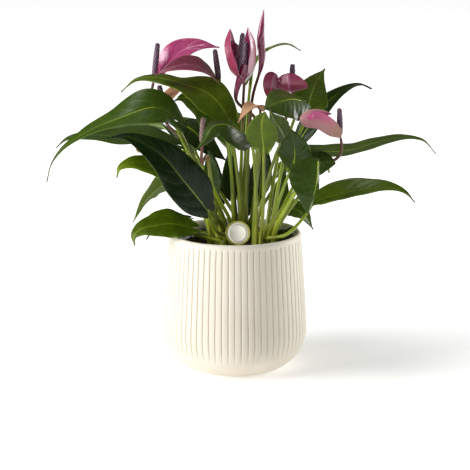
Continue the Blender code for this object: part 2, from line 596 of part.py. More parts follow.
def stalk_path(foot, via, heel, arrive, samples):
    """A stalk's centre line from the soil to its heel."""
    start = np.array([foot[0], foot[1], soil_height(*foot) + 0.002])
    heel, arrive = np.array(heel), unit(np.array(arrive))
    span = np.linalg.norm(heel - start)
    first = start + np.array([0.0, 0.0, 0.10 * span])
    last = heel - arrive * 0.16 * span
    middle = [np.array(point) for point in via]
    return smooth_path([start, first, *middle, last, heel], samples)


def spread_stalks(paths, radii, blades, rounds=120):
    """Bends the stalks clear of each other and of the blades they pass. Their feet shift only sideways."""
    names = list(paths)
    base = np.stack([paths[name] for name in names])
    stalks, samples = base.shape[:2]
    shift = np.zeros_like(base)
    owner = np.repeat(np.arange(stalks), samples)
    near = 2 * max(radii) + 0.0018
    fixed = [
        (names.index(name), place) for name, blade in blades.items()
        for place in blade_surface(blade, *np.meshgrid(
            np.linspace(0, 0.97, 17), np.linspace(-1, 1, 7), indexing="ij")).reshape(-1, 3)
    ]
    walls = KDTree(len(fixed))
    for index, (_, place) in enumerate(fixed):
        walls.insert(place, index)
    walls.balance()
    clear_of_blade = max(radii) + 0.0024
    for _ in range(rounds):
        points = (base + shift).reshape(-1, 3)
        tree = KDTree(len(points))
        for index, place in enumerate(points):
            tree.insert(place, index)
        tree.balance()
        push = np.zeros_like(points)
        for index, place in enumerate(points):
            for other_place, other, gap in tree.find_range(place, near):
                if owner[other] != owner[index] and gap > 1e-6:
                    push[index] += (place - np.array(other_place)) / gap * (near - gap) * 0.35
            for wall_place, wall, gap in walls.find_range(place, clear_of_blade):
                if fixed[wall][0] != owner[index] and gap > 1e-6:
                    push[index] += (place - np.array(wall_place)) / gap * (clear_of_blade - gap) * 0.15
        shift += push.reshape(base.shape)
        for _ in range(2):
            shift[:, 1:-1] = 0.5 * shift[:, 1:-1] + 0.25 * (shift[:, :-2] + shift[:, 2:])
        shift[:, :2] = shift[:, :3].mean(axis=1, keepdims=True) * (1.0, 1.0, 0.0)
        shift[:, -2:] = 0.0
    return {name: base[k] + shift[k] for k, name in enumerate(names)}


def stalk_goals():
    """For each stalk its crown, the point that it first leans to, its end and the way it arrives there."""
    goals = {}
    for name, leaf in LEAVES.items():
        heel = np.array(leaf.blade.midrib[0])
        _, _, up, _ = midrib_frames(leaf.blade)
        goals[name] = (leaf.crown, leaf.via, heel - up[0] * 0.0016)
    for name, bloom in BLOOMS.items():
        end = np.array(bloom.seat if bloom.seat else bloom.blade.midrib[0])
        goals[name] = (bloom.crown, bloom.via, end)
    goals["bud"] = ("middle", (), np.array(BUD_AXIS[0]))
    return goals


def all_stalks(samples=40):
    """Every stalk's foot in the soil and its centre line, bent clear of the rest."""
    goals = stalk_goals()
    feet = place_feet({name: (crown, via[0] if via else end) for name, (crown, via, end) in goals.items()})
    paths, blades = {}, {}
    for name, (_, via, end) in goals.items():
        x, y = feet[name]
        lean = np.array([end[0] - x, end[1] - y, 0.0])
        arrive = np.array([0.0, 0.0, 1.0]) + 0.5 * lean / max(np.linalg.norm(lean), 0.02)
        bloom = BLOOMS.get(name)
        if bloom and bloom.seat:
            arrive = np.array(bloom.spadix_top) - np.array(bloom.seat)
        paths[name] = stalk_path((x, y), via, end, arrive, samples)
        source = LEAVES.get(name) or bloom
        if source and source.blade:
            blades[name] = source.blade
    paths = spread_stalks(paths, [STALK_FOOT_RADIUS], blades)
    return {name: (float(path[0][0]), float(path[0][1])) for name, path in paths.items()}, paths


def tube_radii(count, first, last):
    """Radii that taper evenly along a stalk."""
    return list(np.linspace(first, last, count))


def whole_stalk(foot, path):
    """A stalk from the bottom of its hole, with its bent part thinned to a few points."""
    x, y = foot
    bottom = np.array([[x, y, soil_height(x, y) - STEM_DEPTH]])
    picked = path[(np.array(STALK_KNOTS) * (len(path) - 1)).round().astype(int)]
    return np.concatenate([bottom, picked])


def build_leaf(name, leaf, foot, path, parts, tools):
    """A leaf: its blade and the stalk that runs on as the midrib's keel, in one solid."""
    stalk = whole_stalk(foot, path)
    points, _, up, _ = midrib_frames(leaf.blade)
    keel = [points[12] - up[12] * BLADE_THICKNESS]
    radii = tube_radii(len(stalk), STALK_FOOT_RADIUS, STALK_HEEL_RADIUS) + [0.0008]
    tube = tube_mesh(name + "_stalk", np.concatenate([stalk, keel]), radii)
    return joined(name, [blade_mesh(name, leaf.blade), tube], parts, tools, leaf.colour)


def build_bloom(name, bloom, foot, path, parts, tools):
    """A bloom: its stem with the spathe in one solid, and the spadix that stands on the stem's end."""
    stalk = whole_stalk(foot, path)
    radii = tube_radii(len(stalk), STALK_FOOT_RADIUS, STALK_HEEL_RADIUS)
    pieces = []
    if bloom.seat:
        axis = unit(np.array(bloom.spadix_top) - np.array(bloom.seat))
        stalk = np.concatenate([stalk[:-1], [bloom.seat - axis * SEAT_DEPTH, bloom.seat]])
        radii.append(bloom.spadix_radius * 0.85)
    if bloom.blade:
        pieces.append(blade_mesh(name, bloom.blade))
        if not bloom.seat:
            points, _, up, _ = midrib_frames(bloom.blade)
            stalk = np.concatenate([stalk, [points[9] - up[9] * BLADE_THICKNESS]])
            radii.append(0.0008)
    pieces.append(tube_mesh(name + "_stalk", stalk, radii))
    made = [joined(name, pieces, parts, tools, bloom.colour)]
    if bloom.seat:
        start = np.array(bloom.seat) + axis * GAP
        mesh = spadix_mesh(name + "_spadix", start, bloom.spadix_top, bloom.spadix_radius)
        made.append(add_object(name + "_spadix", mesh, parts, "spadix_plum"))
    return made


def build_bud(foot, path, parts):
    """The bud, still rolled shut, on its stem."""
    stalk = whole_stalk(foot, path)
    radii = tube_radii(len(stalk), STALK_FOOT_RADIUS, STALK_HEEL_RADIUS)
    points = np.concatenate([stalk, BUD_AXIS[1:]])
    mesh = tube_mesh("bud", points, radii + list(BUD_RADII[1:]))
    return add_object("bud", mesh, parts, "spathe_pink")


def main():
    for old in list(bpy.data.objects):
        bpy.data.objects.remove(old)
    parts = bpy.data.collections.new("potted_anthurium")
    tools = bpy.data.collections.new("cutters")
    bpy.context.scene.collection.children.link(parts)
    bpy.context.scene.collection.children.link(tools)
    feet, paths = all_stalks()
    stake_foot = (0.003, -0.0525)
    build_pot(parts, tools)
    build_grower_pot(parts)
    holes = [(*foot, STALK_FOOT_RADIUS) for foot in feet.values()]
    build_soil(parts, tools, holes + [(*stake_foot, 0.0013)])
    build_tag(parts, Vector((0.003, -0.056, 0.1555)), stake_foot)
    for name, leaf in LEAVES.items():
        build_leaf(name, leaf, feet[name], paths[name], parts, tools)
    for name, bloom in BLOOMS.items():
        build_bloom(name, bloom, feet[name], paths[name], parts, tools)
    build_bud(feet["bud"], paths["bud"], parts)


main()
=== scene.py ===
"""The looks of the potted anthurium: a ribbed pot with soil and a tag, glossy leaves, and blooms with florets.

Metres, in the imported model's frame: +Z up, the plant faces -Y and +X is to its right. The tables of leaves and
blooms are in millimetres. The solids are built from the same values, so each fine piece lies on its own solid.
"""
import logging
import math
from dataclasses import dataclass
from enum import Enum
from functools import cache

import bpy
import numpy as np
from mathutils import Matrix, Vector, noise
from mathutils.kdtree import KDTree


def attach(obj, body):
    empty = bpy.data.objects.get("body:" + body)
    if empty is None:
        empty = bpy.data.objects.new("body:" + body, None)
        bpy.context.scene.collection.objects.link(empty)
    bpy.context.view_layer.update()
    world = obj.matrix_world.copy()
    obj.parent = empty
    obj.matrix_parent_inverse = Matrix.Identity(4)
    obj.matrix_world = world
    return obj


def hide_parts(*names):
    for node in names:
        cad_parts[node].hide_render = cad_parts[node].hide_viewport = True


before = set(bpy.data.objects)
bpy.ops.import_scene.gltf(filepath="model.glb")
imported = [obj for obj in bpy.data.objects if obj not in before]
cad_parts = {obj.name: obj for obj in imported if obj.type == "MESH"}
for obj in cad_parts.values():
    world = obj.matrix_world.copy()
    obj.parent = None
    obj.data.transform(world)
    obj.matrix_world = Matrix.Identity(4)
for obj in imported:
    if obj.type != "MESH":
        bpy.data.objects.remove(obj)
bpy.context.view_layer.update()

LOG = logging.getLogger("anthurium")
Colour = Point = tuple[float, float, float]
FULL_TURN = 2 * math.pi

# Sizes shared with the solids
POT_HEIGHT = 0.145
RIB_COUNT = 68
POT_WALL = 0.0042
POT_FLOOR = 0.007
SOIL_TOP = 0.129
SOIL_MOUND = 0.003
SOIL_RADIUS = 0.0603
GROWER_WALL = 0.0009
GROWER_TOP = 0.1365
GROWER_FOOT = 0.043
GAP = 0.0003
STEM_DEPTH = 0.008
STALK_FOOT_RADIUS = 0.0022
STALK_HEEL_RADIUS = 0.0015
STEM_SPACING = 0.0060
TAG_RADIUS = 0.0126
TAG_PLACE = Vector((0.003, -0.056, 0.1555))
TAG_TILT = math.radians(80)
STAKE_FOOT = (0.003, -0.0525)

# The pot's outer side, as radius and height, from the rim to the flat base
POT_SIDE = (
    (0.0686, 0.1450), (0.0695, 0.1425), (0.0700, 0.1365), (0.0748, 0.0640), (0.0754, 0.0360),
    (0.0708, 0.0200), (0.0635, 0.0110), (0.0530, 0.0030), (0.0450, 0.0000),
)

# The three crowns that the stalks grow from
CROWNS = {"left": (-0.014, -0.004), "middle": (0.008, 0.015), "right": (0.030, -0.016)}


class Slot(Enum):
    """The record's material slots."""

    POT = "pot_cream"
    GROWER_POT = "grower_black"
    SOIL = "soil_dark"
    TAG = "tag_cream"
    STAKE = "stake_olive"
    LEAF_BRIGHT = "leaf_bright"
    LEAF_MID = "leaf_mid"
    LEAF_DARK = "leaf_dark"
    LEAF_GREY = "leaf_grey"
    SPATHE_PINK = "spathe_pink"
    SPATHE_DUSK = "spathe_dusk"
    SPATHE_PEACH = "spathe_peach"
    SPADIX = "spadix_plum"


def mm(*points: Point) -> tuple[Point, ...]:
    """Points given in millimetres, in metres."""
    return tuple(tuple(number / 1000 for number in point) for point in points)


def unit(vectors: np.ndarray) -> np.ndarray:
    """Vectors of length one, along the last axis."""
    return vectors / np.maximum(np.linalg.norm(vectors, axis=-1, keepdims=True), 1e-12)


def smoothstep(low: float, high: float, value: np.ndarray) -> np.ndarray:
    """A smooth rise from 0 at low to 1 at high."""
    share = np.clip((value - low) / (high - low), 0.0, 1.0)
    return share * share * (3 - 2 * share)


def ring_angles(count: int) -> np.ndarray:
    """The angles of evenly spaced points round a ring."""
    return np.linspace(0, FULL_TURN, count, endpoint=False)


def smooth_path(points: list, count: int) -> np.ndarray:
    """Points evenly spaced along a smooth curve through the given ones.

    Args:
        points: The points that the curve passes.
        count: How many points to return.

    Returns:
        An array of count rows.
    """
    points = np.array(points, float)
    steps = np.linalg.norm(np.diff(points, axis=0), axis=1)
    knots = np.concatenate([[0.0], np.cumsum(np.sqrt(steps))])
    slopes = np.gradient(points, knots, axis=0)
    fine = np.linspace(0.0, knots[-1], 24 * len(points))
    left = np.clip(np.searchsorted(knots, fine, side="right") - 1, 0, len(knots) - 2)
    span = (knots[left + 1] - knots[left])[:, None]
    t = (fine - knots[left])[:, None] / span
    curve = (
        (2 * t**3 - 3 * t**2 + 1) * points[left] + (t**3 - 2 * t**2 + t) * span * slopes[left]
        + (3 * t**2 - 2 * t**3) * points[left + 1] + (t**3 - t**2) * span * slopes[left + 1]
    )
    lengths = np.concatenate([[0.0], np.cumsum(np.linalg.norm(np.diff(curve, axis=0), axis=1))])
    wanted = np.linspace(0.0, lengths[-1], count)
    return np.stack([np.interp(wanted, lengths, curve[:, axis]) for axis in range(points.shape[1])], axis=1)


@dataclass(frozen=True)
class Blade:
    """A leaf's blade or a spathe: its midrib from heel to tip, its width in mm, and how its halves lie."""

    midrib: tuple
    width: float
    face: Point
    twist: float = 0.0
    twist_span: tuple = (0.0, 1.0)
    fold: float = 12.0
    curl: float = 0.0
    lobe: float = 0.15
    point: float = 1.3

    def frames(self, count: int = 65) -> tuple[np.ndarray, np.ndarray, np.ndarray, np.ndarray]:
        """The lie of the blade along its midrib.

        Args:
            count: How many points to take on the midrib.

        Returns:
            The points, with the midrib's direction, the blade's upper side and its right-hand side at each.
        """
        points = smooth_path(self.midrib, count)
        along = unit(np.gradient(points, axis=0))
        up = np.empty_like(along)
        up[0] = unit(np.array(self.face) - np.dot(self.face, along[0]) * along[0])
        for i in range(1, count):
            up[i] = unit(up[i - 1] - np.dot(up[i - 1], along[i]) * along[i])
        share = (np.linspace(0.0, 1.0, count) - self.twist_span[0]) / np.ptp(self.twist_span)
        turn = np.radians(self.twist) * smoothstep(0.0, 1.0, share)[:, None]
        side = np.cross(along, up)
        return points, along, up * np.cos(turn) + side * np.sin(turn), side * np.cos(turn) - up * np.sin(turn)

    def outline(self, v: np.ndarray) -> np.ndarray:
        """The shape of the margin, before it is scaled to the blade's width."""
        return (v + 0.02) ** 0.5 * np.maximum(1 - v, 0.0) ** self.point

    def half_width(self, v: np.ndarray) -> np.ndarray:
        """The distance from midrib to margin at v, 0 to 1 from heel to tip."""
        peak = np.max(self.outline(np.linspace(0.0, 1.0, 101)))
        return np.maximum(self.width / 2000 * self.outline(v) / peak, 0.0007)

    def surface(self, v: np.ndarray, u: np.ndarray, lift: np.ndarray | float = 0.0) -> np.ndarray:
        """Places on the blade's upper side.

        Args:
            v: 0 to 1 from heel to tip.
            u: -1 to 1 from margin to margin.
            lift: A height to add along the upper side's direction.

        Returns:
            The places, with one more axis than v.
        """
        points, *directions = self.frames()
        length = np.linalg.norm(np.diff(points, axis=0), axis=1).sum()
        reach = np.abs(u)
        back = np.sin(math.pi * reach**1.15) * (1 - v) ** 2.5
        place = v - self.lobe * back
        inside = np.clip(place, 0.0, 1.0) * (len(points) - 1)

        def at(table: np.ndarray) -> np.ndarray:
            """The table's rows at the places along the midrib."""
            return np.stack([np.interp(inside, np.arange(len(points)), table[:, k]) for k in range(3)], axis=-1)

        along, up, side = (unit(at(table)) for table in directions)
        half = self.half_width(v)
        angle = math.radians(self.fold)
        across = half * u * math.cos(angle)
        rise = half * (reach * math.sin(angle) + self.curl * u * u) + lift
        behind = np.minimum(place, 0.0) * length
        return at(points) + along * behind[..., None] + side * across[..., None] + up * rise[..., None]


@dataclass(frozen=True)
class LeafPlan:
    """A leaf: the crown it grows from, its slot and tone, its blade, and points its stalk passes."""

    crown: str
    slot: Slot
    tone: float
    blade: Blade
    via: tuple = ()


@dataclass(frozen=True)
class BloomPlan:
    """A bloom: its crown, its spadix's seat and top, its slot and tone, its spathe, and what its stem passes."""

    crown: str
    spadix: tuple | None
    slot: Slot
    tone: float
    blade: Blade | None = None
    via: tuple = ()
    flap: Blade | None = None
    spadix_radius: float = 0.0029


# The grown leaves
LEAVES = {
    "crest_left": LeafPlan("middle", Slot.LEAF_BRIGHT, 0.2, Blade(
        mm((-8, -24, 272), (-16, -22, 284), (-30, -20, 296), (-52, -20, 304), (-77, -23, 311),
           (-101, -26, 310), (-117, -28, 297)),
        44, (0.4, -0.7, 0.5), twist=30, twist_span=(0.2, 0.5), fold=5, curl=-0.14, lobe=0.15, point=1.6)),
    "under_crest": LeafPlan("middle", Slot.LEAF_MID, 0.55, Blade(
        mm((-11, -12, 264), (-21, -12, 278), (-33, -12, 285), (-45, -13, 288), (-55, -14, 289),
           (-62, -16, 286)), 48, (0.1, -0.8, 0.6), fold=-10, curl=-0.08, lobe=0.12)),
    "far_left": LeafPlan("left", Slot.LEAF_MID, 0.35, Blade(
        mm((-62, -42, 272), (-70, -45, 281), (-83, -50, 285), (-99, -55, 282), (-115, -58, 276),
           (-133, -58, 269), (-154, -58, 259), (-175, -58, 244), (-187, -58, 228), (-192, -58, 209)),
        46, (0.4, -0.5, 0.77), twist=32, twist_span=(0.15, 0.45), fold=14, curl=-0.1, lobe=0.1, point=1.9),
        via=mm((-48, -36, 236))),
    "far_left_low": LeafPlan("left", Slot.LEAF_DARK, 1.0, Blade(
        mm((-62, 0, 238), (-89, -6, 247), (-122, -10, 248), (-155, -12, 249), (-174, -12, 246),
           (-186, -12, 236)), 50, (0.0, -0.25, 0.97), fold=12, curl=-0.12, lobe=0.1)),
    "dark_front": LeafPlan("left", Slot.LEAF_DARK, 0.1, Blade(
        mm((-29, -57, 181), (-40, -64, 197), (-54, -72, 216), (-70, -78, 237), (-88, -82, 251),
           (-109, -84, 261), (-128, -86, 260)),
        48, (0.25, -0.85, 0.45), fold=9, curl=-0.06, lobe=0.06, point=1.4), via=mm((-18, -36, 152))),
    "bright_left": LeafPlan("left", Slot.LEAF_BRIGHT, 0.85, Blade(
        mm((-57, -10, 203), (-80, -18, 216), (-104, -24, 223), (-119, -28, 218), (-122, -30, 208)),
        38, (0.0, -0.45, 0.9), fold=10, curl=-0.1)),
    "pale_left": LeafPlan("left", Slot.LEAF_BRIGHT, 0.8, Blade(
        mm((-53, 26, 195), (-73, 14, 195), (-93, 2, 180), (-107, -4, 156)),
        44, (-0.5, 0.55, 0.65), fold=8, curl=-0.05)),
    "low_left": LeafPlan("left", Slot.LEAF_BRIGHT, 0.4, Blade(
        mm((-47, -16, 153), (-66, -22, 158), (-84, -28, 157), (-98, -32, 154), (-105, -34, 147),
           (-104, -34, 137)), 44, (-0.1, -0.5, 0.85), fold=10, curl=-0.12)),
    "low_left_small": LeafPlan("left", Slot.LEAF_DARK, 0.6, Blade(
        mm((-52, 14, 156), (-70, 6, 157), (-84, -2, 151), (-93, -8, 138)),
        26, (-0.2, -0.2, 0.95), fold=12, curl=-0.1)),
    "centre_curled": LeafPlan("right", Slot.LEAF_GREY, 0.2, Blade(
        mm((17, -48, 253), (5, -60, 262), (-9, -70, 271), (-22, -76, 270), (-30, -80, 258), (-40, -82, 246)),
        38, (0.1, -0.6, 0.8), fold=-20, curl=-0.15, lobe=0.06)),
    "back_centre": LeafPlan("middle", Slot.LEAF_DARK, 0.4, Blade(
        mm((-54, 50, 250), (-42, 46, 242), (-28, 40, 228), (-8, 34, 213)),
        32, (0.4, -0.8, 0.5), fold=8, curl=-0.05), via=mm((-39, 48, 212))),
    "bright_heart": LeafPlan("right", Slot.LEAF_BRIGHT, 0.22, Blade(
        mm((29, -62, 246), (27, -72, 262), (27, -80, 276), (30, -86, 286)),
        32, (-0.1, -0.85, 0.45), fold=8, curl=-0.1, lobe=0.22, point=0.9)),
    "small_bright": LeafPlan("right", Slot.LEAF_BRIGHT, 0.15, Blade(
        mm((52, -30, 250), (46, -38, 261), (39, -46, 273), (35, -50, 283)),
        26, (0.4, -0.85, 0.35), fold=8, curl=-0.05)),
    "roof": LeafPlan("right", Slot.LEAF_GREY, 0.55, Blade(
        mm((71, -4, 284), (59, -16, 288), (45, -30, 287), (30, -42, 282)),
        46, (-0.1, -0.7, 0.7), fold=-12, curl=-0.15, lobe=0.16, point=1.0)),
    "back_up": LeafPlan("middle", Slot.LEAF_MID, 0.7, Blade(
        mm((77, 36, 263), (79, 38, 279), (86, 36, 298), (94, 32, 312)),
        40, (-0.1, -0.95, 0.25), fold=10, curl=-0.05)),
    "back_narrow": LeafPlan("middle", Slot.LEAF_DARK, 0.5, Blade(
        mm((69, 60, 231), (85, 58, 257), (102, 55, 277), (121, 52, 290), (133, 50, 293), (145, 50, 288)),
        26, (-0.4, -0.75, 0.5), fold=10, curl=-0.05, point=1.6)),
    "right_high": LeafPlan("right", Slot.LEAF_GREY, 0.8, Blade(
        mm((78, 10, 230), (97, 10, 228), (122, 10, 230), (149, 11, 238), (176, 12, 243), (197, 12, 240),
           (211, 12, 225)), 40, (0.0, -0.15, 1.0), fold=10, curl=-0.08, lobe=0.12, point=1.5)),
    "right_low": LeafPlan("right", Slot.LEAF_MID, 0.85, Blade(
        mm((79, -30, 182), (103, -32, 190), (131, -34, 197), (158, -34, 199), (175, -34, 194), (186, -34, 183)),
        34, (0.0, -0.45, 0.9), fold=22, curl=-0.05, lobe=0.08), via=mm((53, -42, 151))),
    "front_drip": LeafPlan("right", Slot.LEAF_DARK, 0.9, Blade(
        mm((85, -64, 235), (84, -72, 218), (80, -77, 199), (74, -78, 180)),
        60, (0.7, -0.7, 0.1), fold=-38, curl=0.0, lobe=0.0, point=1.0), via=mm((58, -48, 190))),
    "round_dark": LeafPlan("right", Slot.LEAF_DARK, 0.8, Blade(
        mm((60, -36, 222), (61, -45, 236), (59, -49, 250), (57, -49, 262)),
        36, (-0.1, -0.95, 0.2), fold=6, curl=-0.12, lobe=0.14, point=0.9)),
    "round_side": LeafPlan("right", Slot.LEAF_DARK, 0.8, Blade(
        mm((70, -29, 221), (81, -35, 224), (92, -38, 226), (103, -40, 225)),
        28, (0.1, -0.9, 0.4), fold=6, curl=-0.12, lobe=0.12, point=0.8), via=mm((64, -18, 195))),
    "low_right": LeafPlan("right", Slot.LEAF_MID, 0.6, Blade(
        mm((50, 28, 160), (60, 26, 164), (72, 24, 159), (83, 22, 142)),
        26, (0.1, -0.5, 0.9), fold=10, curl=-0.05), via=mm((43, 18, 146))),
    "inner_right": LeafPlan("right", Slot.LEAF_DARK, 0.3, Blade(
        mm((47, 4, 143), (52, -4, 148), (56, -13, 150), (59, -24, 147)),
        22, (0.1, -0.3, 0.95), fold=10, curl=-0.1)),
    "back_top": LeafPlan("middle", Slot.LEAF_BRIGHT, 0.5, Blade(
        mm((16, 50, 302), (24, 56, 320), (39, 60, 331), (56, 62, 334), (70, 64, 327)),
        34, (-0.3, 0.2, 0.95), fold=12, curl=-0.1)),
    "rear_left": LeafPlan("left", Slot.LEAF_DARK, 0.7, Blade(
        mm((-54, 53, 226), (-69, 69, 240), (-88, 87, 244), (-108, 100, 236), (-120, 108, 218)),
        56, (0.1, 0.4, 0.9), fold=12, curl=-0.12)),
    "rear_middle": LeafPlan("middle", Slot.LEAF_MID, 0.4, Blade(
        mm((-4, 62, 232), (-8, 84, 250), (-10, 108, 254), (-10, 132, 243), (-8, 146, 222)),
        58, (0.0, 0.4, 0.9), fold=12, curl=-0.12)),
    "rear_right": LeafPlan("right", Slot.LEAF_BRIGHT, 0.4, Blade(
        mm((52, 64, 196), (68, 84, 210), (84, 104, 212), (98, 120, 200), (104, 128, 182)),
        50, (0.0, 0.4, 0.9), fold=12, curl=-0.12)),
    "rear_low": LeafPlan("middle", Slot.LEAF_BRIGHT, 0.6, Blade(
        mm((10, 56, 170), (12, 76, 178), (13, 96, 172), (14, 108, 156)),
        40, (0.0, 0.4, 0.9), fold=12, curl=-0.12)),
}

# The blooms
BLOOMS = {
    "left_back": BloomPlan("left", mm((-84, 10, 306), (-80, 10, 342)), Slot.SPATHE_PINK, 0.7, Blade(
        mm((-84.5, 10, 301.5), (-77, 9, 308), (-69, 12, 320), (-56, 15, 333), (-37, 16, 339), (-16, 16, 337)),
        36, (-0.85, -0.1, 0.5), twist=38, twist_span=(0.05, 0.5), fold=10, curl=0.08, lobe=0.0),
        via=mm((-48, 24, 226), (-64, 26, 256))),
    "left_front": BloomPlan("middle", mm((-17, 16, 304), (-21, 14, 335)), Slot.SPATHE_DUSK, 0.2, Blade(
        mm((-16.4, 16.3, 299.5), (-24, 6, 309), (-34, -5, 319), (-48, -17, 324), (-63, -27, 323),
           (-75, -34, 319), (-81, -37, 316)), 34, (0.3, -0.38, 0.8), fold=9, curl=0.0, lobe=0.0)),
    "left_low": BloomPlan("left", mm((-76, -10, 289), (-78, -11, 301)), Slot.SPATHE_PEACH, 0.2, Blade(
        mm((-75, -9, 285), (-68, -6, 290), (-59, -3, 297), (-50, 0, 300), (-43, 2, 299)),
        16, (-0.2, -0.5, 0.85), fold=10, curl=0.0, lobe=0.08), via=mm((-40, -28, 226), (-56, -28, 250))),
    "tulip": BloomPlan("middle", mm((4, 0, 313), (8, -1, 354)), Slot.SPATHE_PINK, 0.3, Blade(
        mm((3, 0, 309), (-3, -2, 314), (-8, -4, 328), (-10, -4, 344), (-5, -2, 358)),
        34, (0.9, -0.2, 0.35), fold=20, curl=0.42, lobe=0.08, point=0.75),
        via=mm((24, -7, 262)), flap=Blade(
            mm((9.5, -6, 322), (6, -6, 310.5), (2.5, -5, 298.5), (2, -3.5, 285.5)),
            10.5, (-0.1, -1.0, 0.1), fold=-35, curl=-0.3, lobe=0.0, point=1.1)),
    "rolled": BloomPlan("middle", mm((10, 22, 305), (12, 20, 342)), Slot.SPATHE_PINK, 0.5, Blade(
        mm((11, 23, 301), (17, 24, 308), (21, 23, 324), (20, 20, 342), (13, 16, 357)),
        40, (-0.85, -0.4, 0.35), fold=26, curl=0.35, lobe=0.08, point=1.0)),
    "roof": BloomPlan("right", mm((60, 24, 301), (60, 24, 318)), Slot.SPATHE_PINK, 0.4, Blade(
        mm((60, 21, 292), (58, 12, 291), (56, 6, 299), (55, 7, 311)),
        37, (0.0, 0.2, 1.0), fold=6, curl=0.16, lobe=0.0, point=0.55), via=mm((55, 22, 266)), flap=Blade(
            mm((41.5, 7, 311), (38.5, 4, 305), (37.5, 3, 294), (36.5, 4, 283)),
            18, (-0.3, 0.95, 0.1), fold=6, curl=0.2, lobe=0.0, point=0.8)),
    "right": BloomPlan("right", mm((108, -26, 255), (107, -27, 280)), Slot.SPATHE_DUSK, 1.0, Blade(
        mm((108, -27, 250), (97, -31, 253), (84, -35, 261), (71, -36, 264), (67, -34, 271), (76, -30, 278),
           (89, -28, 278), (99, -27, 274)),
        40, (0.1, 0.2, 1.0), fold=42, curl=0.05, lobe=0.0, point=0.8), via=mm((90, -22, 215))),
    "old": BloomPlan("right", None, Slot.SPATHE_PEACH, 0.7, Blade(
        mm((27, -6, 275), (21, -16, 282), (12, -28, 279), (3, -36, 267)),
        18, (-0.3, -0.6, 0.75), fold=10, curl=0.05, lobe=0.06)),
    "old_small": BloomPlan("left", None, Slot.SPATHE_PEACH, 0.9, Blade(
        mm((-96, 26, 226), (-99, 26, 230), (-102, 26, 236), (-106, 26, 240)),
        14, (0.3, -0.85, 0.4), fold=10, curl=0.05, lobe=0.06), via=mm((-46, 50, 180), (-78, 42, 208))),
    "bare": BloomPlan("left", mm((-33, -67, 252), (-32, -67, 277)), Slot.SPATHE_PINK, 0.9,
        via=mm((-24, -34, 200), (-29, -54, 236)), spadix_radius=0.003),
}


def young(x: float, y: float, z: float, lean: float, length: float, turn: float) -> Blade:
    """The upright blade of a young leaf among the stalks.

    Args:
        x: How far its heel is to the right of the pot's middle, in mm.
        y: How far its heel is to the back, in mm.
        z: How high its heel is, in mm.
        lean: How far its tip lies to the right of its heel, in mm.
        length: Its height, in mm.
        turn: How far it faces to the right.

    Returns:
        The blade.
    """
    steps = ((0, 0, 0), (0.25, 0, 0.34), (0.60, 3, 0.70), (1, 8, 1))
    midrib = mm(*((x + lean * across, y + back, z + length * up) for across, back, up in steps))
    return Blade(midrib, 0.42 * length, (turn, -0.9, 0.2), fold=16, curl=0.04, lobe=0.08, point=1.0)


# Young leaves, still low among the stalks of the grown ones: crown, slot, tone, and what young() asks for
YOUNG_ROWS = (
    ("middle", Slot.LEAF_DARK, 0.4, (26, 40, 176, 6, 58, 0.0)),
    ("left", Slot.LEAF_DARK, 0.5, (-18, 50, 160, -10, 56, 0.3)),
    ("left", Slot.LEAF_MID, 0.2, (-22, 0, 184, -6, 46, -0.3)),
    ("right", Slot.LEAF_MID, 0.3, (45, 12, 160, 8, 46, 0.2)),
    ("middle", Slot.LEAF_DARK, 0.7, (13, 36, 158, 2, 50, -0.2)),
    ("left", Slot.LEAF_DARK, 0.5, (-22, 24, 180, -4, 46, 0.0)),
    ("middle", Slot.LEAF_MID, 0.1, (-4, 24, 176, -2, 50, 0.2)),
    ("middle", Slot.LEAF_DARK, 0.6, (26, 18, 180, 4, 50, -0.2)),
    ("left", Slot.LEAF_MID, 0.4, (-40, 12, 186, -10, 40, 0.0)),
)
YOUNG_LEAVES = {
    f"young_{number}": LeafPlan(crown, slot, tone, young(*blade))
    for number, (crown, slot, tone, blade) in enumerate(YOUNG_ROWS, start=1)
}

# The closed bud: points up its axis, with its radius at each
BUD_AXIS = mm((25, 30, 306), (27, 30, 314), (28, 30, 326), (27, 30, 344), (28, 30, 360), (30, 30, 374))
BUD_RADII = (0.0016, 0.0026, 0.0040, 0.0042, 0.0026, 0.0005)


class Value:
    """What a node gives out, which stands in a sum as a number does."""

    def __init__(self, wiring: "Wiring", socket: bpy.types.NodeSocket) -> None:
        """Keeps the socket, with the wiring of its tree."""
        self.wiring, self.socket = wiring, socket

    def __add__(self, other: object) -> "Value":
        """Both together."""
        return self.wiring.math("ADD", self, other)

    def __sub__(self, other: object) -> "Value":
        """This less the other."""
        return self.wiring.math("SUBTRACT", self, other)

    def __rsub__(self, other: object) -> "Value":
        """The other less this."""
        return self.wiring.math("SUBTRACT", other, self)

    def __mul__(self, other: object) -> "Value":
        """This times the other."""
        return self.wiring.math("MULTIPLY", self, other)

    def __truediv__(self, other: object) -> "Value":
        """This divided by the other."""
        return self.wiring.math("DIVIDE", self, other)

    def __pow__(self, other: object) -> "Value":
        """This to the power of the other."""
        return self.wiring.math("POWER", self, other)

    def __abs__(self) -> "Value":
        """This without its sign."""
        return self.wiring.math("ABSOLUTE", self)

    def rise(self, low: object, high: object, first: object = 0.0, last: object = 1.0) -> "Value":
        """A smooth change from first, where this is low, to last, where it is high."""
        inputs = dict(enumerate((self, low, high, first, last)))
        return self.wiring.node("ShaderNodeMapRange", inputs, interpolation_type="SMOOTHSTEP")


